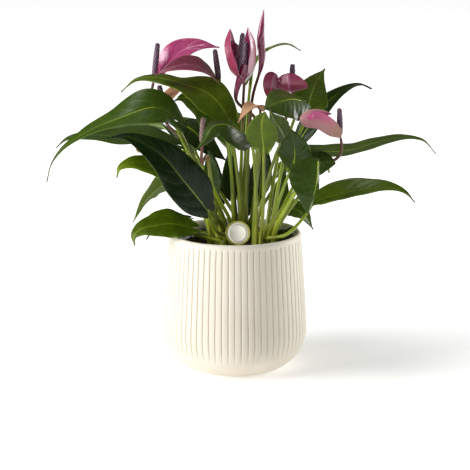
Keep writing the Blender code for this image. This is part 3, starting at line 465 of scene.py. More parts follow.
class Wiring:
    """Adds nodes to one tree and links them to each other."""

    def __init__(self, tree: bpy.types.NodeTree) -> None:
        """Starts on the tree."""
        self.tree = tree

    def feed(self, socket: bpy.types.NodeSocket, value: object) -> None:
        """Links a socket to a value, or sets its default to a plain number or thing.

        Args:
            socket: The socket to feed.
            value: What it gets.
        """
        if isinstance(value, Value):
            self.tree.links.new(value.socket, socket)
        elif isinstance(value, tuple) and len(value) == 3 and socket.type == "RGBA":
            socket.default_value = (*value, 1.0)
        else:
            socket.default_value = value

    def node(self, kind: str, inputs: dict | None = None, output: int | str = 0, **settings: object) -> Value:
        """Adds one node.

        Args:
            kind: The node's type.
            inputs: What its inputs get, by name or index.
            output: Which of its outputs is wanted.
            settings: The node's own settings, which are made first.

        Returns:
            That output.
        """
        node = self.tree.nodes.new(kind)
        for key, value in settings.items():
            setattr(node, key, value)
        for key, value in (inputs or {}).items():
            self.feed(node.inputs[key], value)
        return Value(self, node.outputs[output])

    def math(self, operation: str, *values: object) -> Value:
        """One sum on numbers."""
        return self.node("ShaderNodeMath", dict(enumerate(values)), operation=operation)

    def vector(self, operation: str, *values: object, output: int | str = 0) -> Value:
        """One sum on vectors."""
        return self.node("ShaderNodeVectorMath", dict(enumerate(values)), output, operation=operation)

    def scaled(self, vector: Value, amount: Value) -> Value:
        """A vector times a number."""
        return self.node("ShaderNodeVectorMath", {0: vector, "Scale": amount}, operation="SCALE")

    def xyz(self, *numbers: object) -> Value:
        """A vector from its numbers."""
        return self.node("ShaderNodeCombineXYZ", dict(enumerate(numbers)))

    def axes(self, vector: Value) -> tuple[Value, ...]:
        """A vector's three numbers."""
        split = self.node("ShaderNodeSeparateXYZ", {0: vector}).socket.node
        return tuple(Value(self, socket) for socket in split.outputs)

    def mix(self, share: object, first: object, second: object) -> Value:
        """A colour between two, by a share."""
        return self.node("ShaderNodeMix", {0: share, 6: first, 7: second}, 2, data_type="RGBA")

    def layers(self, colour: object, *coats: tuple) -> object:
        """A colour with others laid over it in turn.

        Args:
            colour: The first colour.
            coats: For each of the others its share and itself.

        Returns:
            The colour that they give.
        """
        for share, coat in coats:
            colour = self.mix(share, colour, coat)
        return colour

    def noise(self, place: object, scale: object, detail: float = 3.0, rough: float = 0.5) -> Value:
        """Cloudy noise, 0 to 1, at a place."""
        inputs = {"Vector": place, "Scale": scale, "Detail": detail, "Roughness": rough}
        return self.node("ShaderNodeTexNoise", inputs)

    def place(self) -> Value:
        """The object's own coordinates, in metres."""
        return self.node("ShaderNodeTexCoord", output="Object")

    def mark(self, name: str) -> Value:
        """A number that a dressed mesh keeps at its points."""
        return self.node("ShaderNodeAttribute", output="Fac", attribute_name=name)

    def pattern(self) -> tuple[Value, ...]:
        """A point's place across its piece and along it, and 1 on an underside."""
        return self.axes(self.node("ShaderNodeAttribute", output="Vector", attribute_name="pattern"))

    def named(self, name: str) -> Value:
        """A number that a mesh in a Geometry Nodes tree keeps at its points."""
        return self.node("GeometryNodeInputNamedAttribute", {"Name": name}, data_type="FLOAT")

    def chance(self, low: object, high: object, seed: int) -> Value:
        """A random vector between two, for each point."""
        inputs = {0: low, 1: high, "Seed": seed}
        return self.node("FunctionNodeRandomValue", inputs, data_type="FLOAT_VECTOR")

    def group(self, tree: bpy.types.NodeTree, values: dict) -> dict[str, Value]:
        """Adds a shared group.

        Args:
            tree: The group.
            values: What its inputs get, by their names in small letters.

        Returns:
            Its outputs, by name.
        """
        skin = self.tree.nodes.new("ShaderNodeGroup")
        skin.node_tree = tree
        for socket in skin.inputs:
            self.feed(socket, values[socket.name.lower().replace(" ", "_")])
        return {socket.name: Value(self, socket) for socket in skin.outputs}

    def bump(self, height: Value, distance: float, strength: float) -> Value:
        """A normal from a height."""
        return self.node("ShaderNodeBump", {"Height": height, "Distance": distance, "Strength": strength})

    def end(self, leaving: bpy.types.NodeSocket, material: Value | None,
            *geometries: Value) -> bpy.types.NodeTree:
        """Ends a Geometry Nodes tree: its geometries joined and real, with its material.

        Args:
            leaving: The socket that the result leaves by.
            material: The material, where the geometries don't have theirs yet.
            geometries: What is joined.

        Returns:
            The tree.
        """
        joined = self.node("GeometryNodeJoinGeometry")
        for geometry in geometries:
            self.feed(joined.socket.node.inputs[0], geometry)
        result = self.node("GeometryNodeRealizeInstances", {0: joined})
        if material:
            result = self.node("GeometryNodeSetMaterial", {"Geometry": result, "Material": material})
        self.feed(leaving, result)
        return self.tree


def node_group(name: str, kind: str, inputs: dict, outputs: dict) -> tuple[Wiring, dict, dict]:
    """A new node group with named inputs and outputs.

    Args:
        name: The group's name.
        kind: Shader or Geometry.
        inputs: Each input's default value, or its kind of socket where it has none.
        outputs: Each output's kind of socket.

    Returns:
        The tree's wiring, what arrives by the inputs, and the sockets that the outputs leave by.
    """
    tree = bpy.data.node_groups.new(name, f"{kind}NodeTree")
    kinds = {float: "Float", int: "Int", tuple: "Color"}
    for label, value in inputs.items():
        socket_type = f"NodeSocket{kinds.get(type(value), value)}"
        socket = tree.interface.new_socket(name=label, in_out="INPUT", socket_type=socket_type)
        if type(value) in kinds:
            socket.default_value = (*value, 1.0) if isinstance(value, tuple) else value
    for label, value in outputs.items():
        tree.interface.new_socket(name=label, in_out="OUTPUT", socket_type=f"NodeSocket{value}")
    wiring = Wiring(tree)
    arriving = tree.nodes.new("NodeGroupInput").outputs
    leaving = tree.nodes.new("NodeGroupOutput").inputs
    return (wiring, {label: Value(wiring, arriving[label]) for label in inputs},
            {label: leaving[label] for label in outputs})


def skin_group(name: str, colours: tuple, numbers: tuple) -> tuple[Wiring, dict, dict]:
    """A new shader group that gives a colour, a roughness and a height, from colours and numbers by name."""
    inputs = {**dict.fromkeys(colours, (0.5, 0.5, 0.5)), **dict.fromkeys(numbers, 1.0)}
    return node_group(name, "Shader", inputs, {"Colour": "Color", "Roughness": "Float", "Height": "Float"})


def recipe(name: str, inputs: dict) -> tuple[Wiring, dict, bpy.types.NodeSocket]:
    """A new Geometry Nodes tree that changes a geometry.

    Args:
        name: The tree's name.
        inputs: What it takes besides the geometry, as in node_group().

    Returns:
        Its wiring, what arrives by its inputs, and the socket that its result leaves by.
    """
    mesh = {"Geometry": "Geometry"}
    wiring, given, leaving = node_group(name, "Geometry", {**mesh, **inputs}, mesh)
    return wiring, given, leaving["Geometry"]


@cache
def blade_skin() -> bpy.types.NodeTree:
    """The group for leaves and spathes: midrib, side veins, pale margin, blotches and a paler underside.

    Returns:
        The group.
    """
    wiring, given, out = skin_group(
        "blade_skin", ("Body", "Light", "Vein", "Under", "Heel", "Tip"),
        ("Veins", "Vein Strength", "Midrib", "Heel Share", "Tip Share", "Margin", "Roughness", "Under Roughness"))
    place = wiring.place()
    across, along, under = wiring.pattern()
    tone = wiring.mark("tone")
    reach = abs(across)
    rank = along - reach ** 1.25 * 0.22 + (wiring.noise(place, 90.0) - 0.5) * 0.05

    def vein_lines(times: float, width: float) -> Value:
        """Side veins: 1 on each line, 0 between."""
        steps = rank * (given["Veins"] * times)
        return abs(wiring.math("FRACT", steps) - 0.5).rise(0.0, width, 1.0, 0.0)

    main_veins = vein_lines(1.0, 0.10) * reach.rise(0.75, 1.0, 1.0, 0.0)
    fine_veins = vein_lines(4.0, 0.30) * 0.35
    lines = wiring.math("MAXIMUM", main_veins, fine_veins) * given["Vein Strength"]
    midrib = reach.rise(0.0, along ** 3.0 * 0.25 + 0.040, 1.0, 0.0)
    glow = reach.rise(0.0, 0.35, 1.0, 0.0)
    margin = reach.rise(0.93, 0.99) * given["Margin"]
    blotch = wiring.noise(place, 55.0, 5.0, 0.6)
    lightness = tone * 0.75 + glow * 0.12 + (blotch - 0.5) * 0.7
    heel = along.rise(0.02, 0.38, 1.0, 0.0) * given["Heel Share"]
    tip = along.rise(0.30, 0.62) * given["Tip Share"] * tone
    upper = wiring.layers(
        wiring.mix(lightness.rise(0.0, 1.0), given["Body"], given["Light"]), (heel, given["Heel"]),
        (tip, given["Tip"]), (lines, given["Vein"]), (midrib * given["Midrib"], given["Vein"]),
        (margin, given["Vein"]))
    seen_over = along.rise(0.12, 0.40) * reach.rise(0.30, 0.75) * (given["Tip Share"] * tone)
    lower = wiring.layers(
        given["Under"], (blotch * 0.35, given["Body"]), (heel * 0.8, given["Heel"]), (seen_over, given["Tip"]),
        (wiring.math("MAXIMUM", midrib, lines) * 0.6, given["Vein"]))
    wiring.feed(out["Colour"], wiring.mix(under, upper, lower))
    scuffs = wiring.noise(place, 240.0, 4.0) * 0.14
    gloss, dull = given["Roughness"] - 0.07 + scuffs, given["Under Roughness"] + scuffs
    wiring.feed(out["Roughness"], wiring.node("ShaderNodeMix", {0: under, 2: gloss, 3: dull}, data_type="FLOAT"))
    puckers = wiring.noise(place, 120.0, 1.0) * 0.4
    wiring.feed(out["Height"], puckers + (main_veins * -0.5 + midrib * 0.4))
    return wiring.tree


@cache
def grain_skin() -> bpy.types.NodeTree:
    """The group for pot, tag, soil and stalks: a mottled colour, and fine grain as a height.

    Returns:
        The group.
    """
    wiring, given, out = skin_group(
        "grain_skin", ("Colour", "Mottle"),
        ("Mottle Scale", "Mottle Share", "Grain Scale", "Roughness", "Spread"))
    place = wiring.place()
    cloud = wiring.noise(place, given["Mottle Scale"], 5.0, 0.6).rise(0.35, 0.7)
    grain = wiring.noise(place, given["Grain Scale"], 4.0, 0.6)
    wiring.feed(out["Colour"], wiring.mix(cloud * given["Mottle Share"], given["Colour"], given["Mottle"]))
    wiring.feed(out["Roughness"], given["Roughness"] + (grain - 0.5) * given["Spread"])
    wiring.feed(out["Height"], grain)
    return wiring.tree


@dataclass(frozen=True)
class Finish:
    """A surface, as a material that is made the first time it is asked for."""

    name: str

    @cache
    def material(self) -> bpy.types.Material:
        """The finish as a material.

        Returns:
            The material, the same one each time.
        """
        made = bpy.data.materials.new(self.name)
        made.use_nodes = True
        wiring = Wiring(made.node_tree)
        for label, value in self.surface(wiring).items():
            wiring.feed(made.node_tree.nodes["Principled BSDF"].inputs[label], value)
        return made


@dataclass(frozen=True)
class BladeFinish(Finish):
    """The skin of a leaf or a spathe."""

    body: Colour
    light: Colour
    vein: Colour
    under: Colour
    veins: float = 9.0
    vein_strength: float = 0.14
    midrib: float = 0.75
    margin: float = 0.35
    roughness: float = 0.32
    under_roughness: float = 0.5
    coat: float = 0.10
    shine: float = 0.40
    heel: Colour = (0.1, 0.2, 0.05)
    heel_share: float = 0.0
    tip: Colour = (0.3, 0.02, 0.1)
    tip_share: float = 0.0

    def surface(self, wiring: Wiring) -> dict[str, object]:
        """What the shader's inputs get, by name."""
        skin = wiring.group(blade_skin(), vars(self))
        return {"Base Color": skin["Colour"], "Roughness": skin["Roughness"],
                "Normal": wiring.bump(skin["Height"], 0.0003, 0.5),
                "Coat Weight": self.coat, "Coat Roughness": 0.25, "Specular IOR Level": self.shine}


@dataclass(frozen=True)
class GrainFinish(Finish):
    """A mottled, finely grained surface: fired clay, moulded plastic, soil."""

    colour: Colour
    mottle: Colour
    mottle_scale: float
    mottle_share: float
    grain_scale: float
    grain_depth: float
    roughness: float
    spread: float
    coat: float = 0.0

    def tinted(self, wiring: Wiring, colour: Value) -> Value:
        """The colour with what this kind of finish lays over it."""
        return colour

    def surface(self, wiring: Wiring) -> dict[str, object]:
        """What the shader's inputs get, by name."""
        skin = wiring.group(grain_skin(), vars(self))
        return {"Base Color": self.tinted(wiring, skin["Colour"]), "Roughness": skin["Roughness"],
                "Normal": wiring.bump(skin["Height"], self.grain_depth, 0.6), "Coat Weight": self.coat}


@dataclass(frozen=True)
class StalkFinish(GrainFinish):
    """A stalk's skin: one colour at the foot and another at the top, streaked along its length."""

    foot: Colour = (0.2, 0.3, 0.05)
    dusky: Colour = (0.15, 0.13, 0.03)
    foot_end: float = 0.35

    def tinted(self, wiring: Wiring, colour: Value) -> Value:
        """The colour under the foot's, and under a dusky one where the piece's tone is low.

        Args:
            wiring: The material's wiring.
            colour: The grained colour.

        Returns:
            The stalk's colour.
        """
        _, along, _ = wiring.pattern()
        stretched = wiring.node("ShaderNodeMapping", {"Vector": wiring.place(), "Scale": (1.0, 1.0, 0.08)})
        streak = wiring.noise(stretched, 700.0) * 0.5
        foot = along.rise(self.foot_end - 0.3, self.foot_end, 0.9, 0.0) + (streak - 0.25)
        dusk = wiring.mark("tone").rise(0.55, 0.0, 0.0, 0.5)
        return wiring.layers(colour, (foot, self.foot), (dusk, self.dusky))


@dataclass(frozen=True)
class SpadixFinish(GrainFinish):
    """A spadix's skin: dark between the florets, with a paler painted highlight on the raised middle of each."""

    # floret: the colour of the painted highlight on each floret's top
    floret: Colour = (0.26, 0.16, 0.24)

    def tinted(self, wiring: Wiring, colour: Value) -> Value:
        """The colour under the painted highlight on the florets' tops."""
        return wiring.mix(wiring.pattern()[1].rise(0.10, 0.36), colour, self.floret)


@dataclass(frozen=True)
class PotFinish(GrainFinish):
    """Fired clay, with painted shade that darkens it down in the grooves."""

    # groove: the colour of the painted shade down in the grooves
    groove: Colour = (0.58, 0.48, 0.33)

    def tinted(self, wiring: Wiring, colour: Value) -> Value:
        """The colour under the painted shade in the grooves."""
        return wiring.mix(wiring.mark("sunk").rise(0.35, 1.0, 0.0, 0.65), colour, self.groove)


@dataclass(frozen=True)
class TagFinish(GrainFinish):
    """The tag's moulded face: cream with a plain olive band round it and a thin line within."""

    band: Colour = (0.36, 0.33, 0.06)
    line: Colour = (0.45, 0.43, 0.38)

    def tinted(self, wiring: Wiring, colour: Value) -> Value:
        """The colour under the line and the band.

        Args:
            wiring: The material's wiring.
            colour: The grained colour.

        Returns:
            The face's colour.
        """
        offset = wiring.vector("SUBTRACT", wiring.place(), tuple(TAG_PLACE))
        reach = wiring.vector("LENGTH", offset, output="Value")
        line = abs(reach - (TAG_RADIUS - 0.0040)).rise(0.0003, 0.0005, 0.7, 0.0)
        band = reach.rise(TAG_RADIUS - 0.0021, TAG_RADIUS - 0.0018)
        return wiring.layers(colour, (line, self.line), (band, self.band))


@dataclass(frozen=True)
class BackdropFinish(GrainFinish):
    """The studio's floor, lit from behind away from the plant so that it ends in plain white."""

    near: float = 0.10
    far: float = 1.2
    near_glow: float = 0.32
    far_glow: float = 0.80

    def surface(self, wiring: Wiring) -> dict[str, object]:
        """The floor's grain with its own light.

        Args:
            wiring: The material's wiring.

        Returns:
            What the shader's inputs get, by name.
        """
        reach = wiring.vector("LENGTH", wiring.place(), output="Value")
        glow = reach.rise(self.near, self.far, self.near_glow, self.far_glow)
        return {**super().surface(wiring), "Emission Color": (1.0, 1.0, 1.0), "Emission Strength": glow}


LEAF_FINISHES = {
    Slot.LEAF_BRIGHT: BladeFinish(
        "leaf_skin_bright", (0.050, 0.090, 0.001), (0.19, 0.28, 0.006), (0.27, 0.33, 0.03), (0.20, 0.29, 0.05),
        roughness=0.36, coat=0.0, shine=0.22),
    Slot.LEAF_MID: BladeFinish(
        "leaf_skin_mid", (0.022, 0.056, 0.001), (0.10, 0.16, 0.006), (0.17, 0.23, 0.03), (0.14, 0.21, 0.05),
        roughness=0.33, coat=0.0, shine=0.25),
    Slot.LEAF_DARK: BladeFinish(
        "leaf_skin_dark", (0.003, 0.013, 0.001), (0.050, 0.090, 0.012), (0.07, 0.12, 0.015), (0.09, 0.15, 0.04),
        vein_strength=0.12, midrib=0.22, margin=0.7, roughness=0.28, coat=0.0, shine=0.22),
    Slot.LEAF_GREY: BladeFinish(
        "leaf_skin_grey", (0.020, 0.042, 0.003), (0.085, 0.140, 0.010), (0.14, 0.20, 0.04), (0.16, 0.22, 0.07),
        midrib=0.55, roughness=0.32, coat=0.15, shine=0.3),
}
SPATHE_FINISHES = {
    Slot.SPATHE_PINK: BladeFinish(
        "spathe_skin_pink", (0.20, 0.006, 0.055), (0.52, 0.060, 0.21), (0.70, 0.26, 0.44), (0.33, 0.040, 0.095),
        veins=6.0, vein_strength=0.16, midrib=0.3, margin=0.30, roughness=0.25, under_roughness=0.30, coat=0.5,
        shine=0.6, heel=(0.13, 0.003, 0.040), heel_share=0.75),
    Slot.SPATHE_DUSK: BladeFinish(
        "spathe_skin_dusk", (0.20, 0.035, 0.055), (0.42, 0.13, 0.15), (0.62, 0.28, 0.32), (0.50, 0.23, 0.24),
        veins=6.0, vein_strength=0.20, midrib=0.4, margin=0.45, roughness=0.30, under_roughness=0.40, coat=0.3,
        shine=0.5, heel=(0.34, 0.25, 0.10), heel_share=0.45, tip=(0.48, 0.030, 0.19), tip_share=0.85),
    Slot.SPATHE_PEACH: BladeFinish(
        "spathe_skin_peach", (0.52, 0.24, 0.13), (0.66, 0.42, 0.22), (0.60, 0.30, 0.18), (0.60, 0.34, 0.20),
        veins=6.0, vein_strength=0.25, margin=0.2, roughness=0.45, under_roughness=0.5, coat=0.0),
}
PETIOLE_SKIN = StalkFinish(
    "petiole_skin", (0.29, 0.40, 0.008), (0.12, 0.20, 0.005), 60.0, 0.6, 900.0, 0.0001, 0.34, 0.12, coat=0.1,
    foot=(0.50, 0.55, 0.06), dusky=(0.075, 0.060, 0.008))
STEM_SKIN = StalkFinish(
    "flower_stem_skin", (0.11, 0.022, 0.016), (0.16, 0.06, 0.02), 60.0, 0.6, 900.0, 0.0001, 0.34, 0.12, coat=0.1,
    foot=(0.24, 0.33, 0.012), foot_end=0.80, dusky=(0.10, 0.035, 0.020))
# The floret colours of the spadix skins are the painted highlight on the florets' tops
SPADIX_SKIN = SpadixFinish(
    "spadix_skin", (0.030, 0.006, 0.018), (0.075, 0.022, 0.055), 700.0, 0.6, 2400.0, 0.00008, 0.42, 0.2,
    floret=(0.30, 0.20, 0.29))
OLD_SPADIX_SKIN = SpadixFinish(
    "spadix_skin_old", (0.10, 0.050, 0.045), (0.17, 0.10, 0.085), 700.0, 0.6, 2400.0, 0.00008, 0.5, 0.2,
    floret=(0.36, 0.25, 0.22))
POT_SKIN = PotFinish(
    "fired_clay_cream", (0.84, 0.775, 0.66), (0.79, 0.715, 0.59), 25.0, 0.5, 1500.0, 0.00006, 0.55, 0.12)
GROWER_SKIN = GrainFinish(
    "nursery_plastic_black", (0.018, 0.017, 0.016), (0.05, 0.042, 0.034), 120.0, 0.6, 900.0, 0.00008, 0.45, 0.2)
SOIL_SKIN = GrainFinish(
    "potting_mix", (0.030, 0.018, 0.011), (0.095, 0.062, 0.038), 320.0, 0.9, 1500.0, 0.0006, 0.92, 0.1)
STAKE_SKIN = GrainFinish(
    "stake_plastic_olive", (0.33, 0.31, 0.09), (0.25, 0.24, 0.07), 200.0, 0.5, 900.0, 0.00005, 0.45, 0.15)
TAG_SKIN = TagFinish(
    "tag_face_cream", (0.84, 0.81, 0.70), (0.78, 0.75, 0.62), 150.0, 0.5, 1200.0, 0.00004, 0.42, 0.12)
BACKDROP_SKIN = BackdropFinish(
    "studio_floor", (0.93, 0.93, 0.92), (0.90, 0.90, 0.89), 3.0, 0.4, 60.0, 0.0001, 0.8, 0.05)


def mark_points(mesh: bpy.types.Mesh, name: str, values: np.ndarray) -> None:
    """Keeps a number, or three, at each of a mesh's points."""
    kind, field = ("FLOAT_VECTOR", "vector") if values.ndim == 2 else ("FLOAT", "value")
    mesh.attributes.new(name, kind, "POINT").data.foreach_set(field, values.astype(np.float32).ravel())


def follow_recipe(piece: bpy.types.Object, tree: bpy.types.NodeTree, values: dict) -> None:
    """Runs a Geometry Nodes tree on a piece and keeps the result as its plain mesh.

    Args:
        piece: The object.
        tree: The tree.
        values: The tree's inputs, by name.
    """
    modifier = piece.modifiers.new(tree.name, "NODES")
    modifier.node_group = tree
    for item in tree.interface.items_tree:
        if item.item_type == "SOCKET" and item.in_out == "INPUT" and item.name in values:
            modifier[item.identifier] = values[item.name]
    depsgraph = bpy.context.evaluated_depsgraph_get()
    evaluated = piece.evaluated_get(depsgraph)
    mesh = bpy.data.meshes.new_from_object(evaluated, preserve_all_data_layers=True, depsgraph=depsgraph)
    piece.modifiers.clear()
    old = piece.data
    piece.data = mesh
    bpy.data.meshes.remove(old)
    mesh.name = piece.name


class Shape:
    """Gathers the closed shells of one piece, with a place in the pattern for each point."""

    def __init__(self, *shell: object) -> None:
        """Starts with one shell or with nothing.

        Args:
            shell: What add() takes, where there is a shell.
        """
        self.points: list[np.ndarray] = []
        self.patterns: list[np.ndarray] = []
        self.faces: list[tuple] = []
        self.edges: list[tuple] = []
        self.count = 0
        if shell:
            self.add(*shell)

    def add(self, points: np.ndarray, faces: list, pattern: np.ndarray | None = None) -> None:
        """Adds one shell.

        Args:
            points: Its points, three numbers each.
            faces: Its faces, as numbers of its points.
            pattern: For each point its place across, its place along, and 1 on an underside.
        """
        points = np.asarray(points, float).reshape(-1, 3)
        self.faces += [tuple(int(i) + self.count for i in face) for face in faces]
        self.patterns.append(np.zeros_like(points) if pattern is None else np.asarray(pattern).reshape(-1, 3))
        self.points.append(points)
        self.count += len(points)

    def piece(self, name: str, finish: Finish, tone: float = 0.5) -> bpy.types.Object:
        """The gathered shells as one object.

        Args:
            name: The object's name.
            finish: Its finish.
            tone: How light its finish is, 0 to 1.

        Returns:
            The object, in the scene, at the origin.
        """
        mesh = bpy.data.meshes.new(name)
        mesh.from_pydata(np.concatenate(self.points).tolist(), self.edges, self.faces)
        mesh.materials.append(finish.material())
        mark_points(mesh, "pattern", np.concatenate(self.patterns))
        mark_points(mesh, "tone", np.full(self.count, tone))
        mesh.shade_smooth()
        made = bpy.data.objects.new(name, mesh)
        bpy.context.scene.collection.objects.link(made)
        return made

    def piece_on_stalk(self, name: str, finish: Finish, tone: float, line: np.ndarray, girth: np.ndarray,
                       skin: Finish, sides: int = 14) -> bpy.types.Object:
        """The gathered shells and a round stalk as one object.

        Args:
            name: The object's name.
            finish: The shells' finish.
            tone: How light it is, 0 to 1.
            line: The stalk's centre line.
            girth: The stalk's radius at each point of the line.
            skin: The stalk's finish.
            sides: How many sides the stalk has.

        Returns:
            The object, in the scene, at the origin.
        """
        first, count = self.count, len(line)
        along = np.linspace(0.0, 1.0, count)
        self.add(line, [], np.stack([0 * along, along, 0 * along], axis=1))
        self.edges = [(first + k, first + k + 1) for k in range(count - 1)]
        made = self.piece(name, finish, tone)
        mark_points(made.data, "girth", np.concatenate([np.zeros(first), girth]))
        follow_recipe(made, stalk_recipe(), {"Sides": sides, "Skin": skin.material()})
        return made


def hand_over(piece: bpy.types.Object, slot: Slot, *nodes: str, crease: float | None = None) -> None:
    """Rides a finished piece on the body, hides and names the solids that it stands for, and reports it.

    Args:
        piece: The object.
        slot: Its material slot in the record. Not used.
        nodes: The solids that it replaces.
        crease: The angle in degrees past which an edge is drawn sharp.
    """
    if crease:
        piece.data.set_sharp_from_angle(angle=math.radians(crease))
    if nodes:
        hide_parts(*nodes)
    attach(piece, "root")
    triangles = sum(len(polygon.vertices) - 2 for polygon in piece.data.polygons)
    LOG.info("%s: %d triangles, for %s", piece.name, triangles, ", ".join(nodes) or "no solid")


def grid_faces(rows: int, columns: int, first: int = 0, closed: bool = False) -> list[tuple]:
    """Faces of a grid of points that look to the side that columns crossed with rows gives.

    Args:
        rows: How many rows of points.
        columns: How many points in a row.
        first: The first point's number.
        closed: Whether each row's end joins its start.

    Returns:
        The faces.
    """
    last = columns if closed else columns - 1
    return [
        (first + i * columns + j, first + i * columns + (j + 1) % columns,
         first + (i + 1) * columns + (j + 1) % columns, first + (i + 1) * columns + j)
        for i in range(rows - 1) for j in range(last)
    ]


def shell_faces(rows: int, columns: int) -> list[tuple]:
    """Faces of a closed thin shell whose upper grid comes first and whose under grid follows.

    Args:
        rows: How many rows of points each grid has.
        columns: How many points in a row.

    Returns:
        The faces.
    """
    size = rows * columns
    top = np.arange(size).reshape(rows, columns)
    low = top + size
    faces = grid_faces(rows, columns)
    faces += [face[::-1] for face in grid_faces(rows, columns, size)]
    for j in range(columns - 1):
        faces.append((top[0, j], low[0, j], low[0, j + 1], top[0, j + 1]))
        faces.append((top[-1, j + 1], low[-1, j + 1], low[-1, j], top[-1, j]))
    for i in range(rows - 1):
        faces.append((top[i + 1, 0], low[i + 1, 0], low[i, 0], top[i, 0]))
        faces.append((top[i, -1], low[i, -1], low[i + 1, -1], top[i + 1, -1]))
    return faces


def tube_faces(rings: int, columns: int) -> list[tuple]:
    """Faces of a closed tube.

    Args:
        rings: How many rings of points it has; its two poles are the points after them.
        columns: How many points in a ring.

    Returns:
        The faces.
    """
    low, last = rings * columns, (rings - 1) * columns
    faces = grid_faces(rings, columns, closed=True)
    faces += [(low, (j + 1) % columns, j) for j in range(columns)]
    faces += [(low + 1, last + j, last + (j + 1) % columns) for j in range(columns)]
    return faces


def turned_shell(profile: np.ndarray, columns: np.ndarray) -> tuple[np.ndarray, list]:
    """A closed turned shell.

    Args:
        profile: Radius and height from the centre of one end to the centre of the other, up the outer side.
        columns: The angle of each column of points.

    Returns:
        Its points and faces, with one point at each pole.
    """
    ring = np.stack([np.cos(columns), np.sin(columns)], axis=1)
    rows = np.asarray(profile)[1:-1]
    flat = rows[:, None, :1] * ring[None]
    body = np.concatenate([flat, np.broadcast_to(rows[:, None, 1:], (*flat.shape[:2], 1))], axis=2).reshape(-1, 3)
    poles = [(0.0, 0.0, profile[0][1]), (0.0, 0.0, profile[-1][1])]
    return np.concatenate([body, poles]), tube_faces(len(rows), len(columns))


@cache
def stalk_recipe() -> bpy.types.NodeTree:
    """The tree that gives a piece's loose centre line its round body and leaves the rest as it is.

    Returns:
        The tree.
    """
    wiring, given, leaving = recipe("stalk_along_line", {"Sides": 14, "Skin": "Material"})
    neighbours = wiring.node("GeometryNodeInputMeshEdgeNeighbors")
    loose = wiring.node("FunctionNodeCompare", {2: neighbours, 3: 0}, data_type="INT", operation="EQUAL")
    part = {"Selection": loose}
    curve = wiring.node("GeometryNodeMeshToCurve", {"Mesh": given["Geometry"], **part})
    ring = wiring.node("GeometryNodeCurvePrimitiveCircle", {"Resolution": given["Sides"], "Radius": 1.0})
    body = wiring.node("GeometryNodeCurveToMesh", {
        "Curve": curve, "Profile Curve": ring, "Scale": wiring.named("girth"), "Fill Caps": True})
    body = wiring.node("GeometryNodeSetMaterial", {"Geometry": body, "Material": given["Skin"]})
    rest = wiring.node("GeometryNodeDeleteGeometry", {"Geometry": given["Geometry"], **part}, domain="EDGE")
    return wiring.end(leaving, None, body, rest)


def groove_recipe() -> bpy.types.NodeTree:
    """The tree that sinks narrow, slightly wavering grooves between the pot's ribs, on its outer side only.

    Returns:
        The tree.
    """
    wiring, given, leaving = recipe("grooves_between_ribs", {
        "Ribs": RIB_COUNT, "Depth": 0.0011, "Half Width": 0.13, "Crown": 0.0002, "Low": 0.0225, "High": 0.1405,
        "Run Out": 0.003, "Waver": 0.0007, "Clay": "Material"})
    low, high, run_out = given["Low"], given["High"], given["Run Out"]
    outside = wiring.named("outside")
    place = wiring.node("GeometryNodeInputPosition")
    x, y, z = wiring.axes(place)
    turn = wiring.math("ARCTAN2", y, x) / FULL_TURN
    off = abs(wiring.math("FRACT", turn * given["Ribs"] + 100.5) - 0.5)
    groove = off.rise(0.0, given["Half Width"], 1.0, 0.0)
    ends = z.rise(low, low + run_out) * z.rise(high - run_out, high, 1.0, 0.0)
    depth = given["Depth"] * wiring.noise(place, 90.0, 2.0).rise(0.3, 0.7, 0.75, 1.0)
    crown = (off * off * 4.0 - 1.0) * given["Crown"]
    amount = (crown - groove * depth) * outside * ends
    slow = wiring.vector("MULTIPLY", place, (1.0, 1.0, 0.45))
    drift = (wiring.noise(slow, 110.0, 1.0) - 0.5) * (given["Waver"] * outside)
    outward = wiring.vector("NORMALIZE", wiring.xyz(x, y))
    sideways = wiring.vector("CROSS_PRODUCT", (0.0, 0.0, 1.0), outward)
    shift = wiring.vector("ADD", wiring.scaled(outward, amount), wiring.scaled(sideways, drift))
    # The mask for the painted shade that darkens the colour down in the grooves
    marked = wiring.node("GeometryNodeStoreNamedAttribute", {
        "Geometry": given["Geometry"], "Name": "sunk", "Value": groove * outside * ends}, data_type="FLOAT")
    moved = wiring.node("GeometryNodeSetPosition", {"Geometry": marked, "Offset": shift})
    return wiring.end(leaving, given["Clay"], moved)


@cache
def floret_recipe() -> bpy.types.NodeTree:
    """The tree that sets florets round a spadix in the spirals of a growing tip, on its core.

    Returns:
        The tree.
    """
    wiring, given, leaving = recipe("florets_round_spadix", {
        "Count": 400, "Length": 0.035, "Radius": 0.003, "Floret Size": 0.0007, "Floret": "Object",
        "Skin": "Material"})
    golden_angle = math.pi * (3 - math.sqrt(5))
    index = wiring.node("GeometryNodeInputIndex")
    share = (index + 0.5) / given["Count"]
    past = wiring.math("MAXIMUM", (share - 0.92) / 0.082, 0.0)
    tip = wiring.math("SQRT", 1.0 - past ** 2.0)
    reach = (1.0 - share * share * 0.22) * share.rise(0.0, 0.35, 0.86, 1.0) * (tip * given["Radius"])
    turn = index * golden_angle
    x, y = wiring.math("COSINE", turn), wiring.math("SINE", turn)
    line = wiring.node("GeometryNodeMeshLine", {"Count": given["Count"]})
    place = wiring.xyz(x * reach, y * reach, share * given["Length"])
    points = wiring.node("GeometryNodeSetPosition", {"Geometry": line, "Position": place})
    outward = wiring.xyz(x, y, share.rise(0.90, 1.0, 0.06, 3.0))
    turned = wiring.node("FunctionNodeAlignRotationToVector", {"Vector": outward}, axis="Z")
    floret = wiring.node("GeometryNodeObjectInfo", {"Object": given["Floret"]}, "Geometry")
    size = given["Floret Size"] * share.rise(0.6, 1.0, 1.0, 0.72)
    florets = wiring.node("GeometryNodeInstanceOnPoints", {
        "Points": points, "Instance": floret, "Rotation": turned, "Scale": wiring.xyz(size, size, size)})
    return wiring.end(leaving, given["Skin"], florets, given["Geometry"])


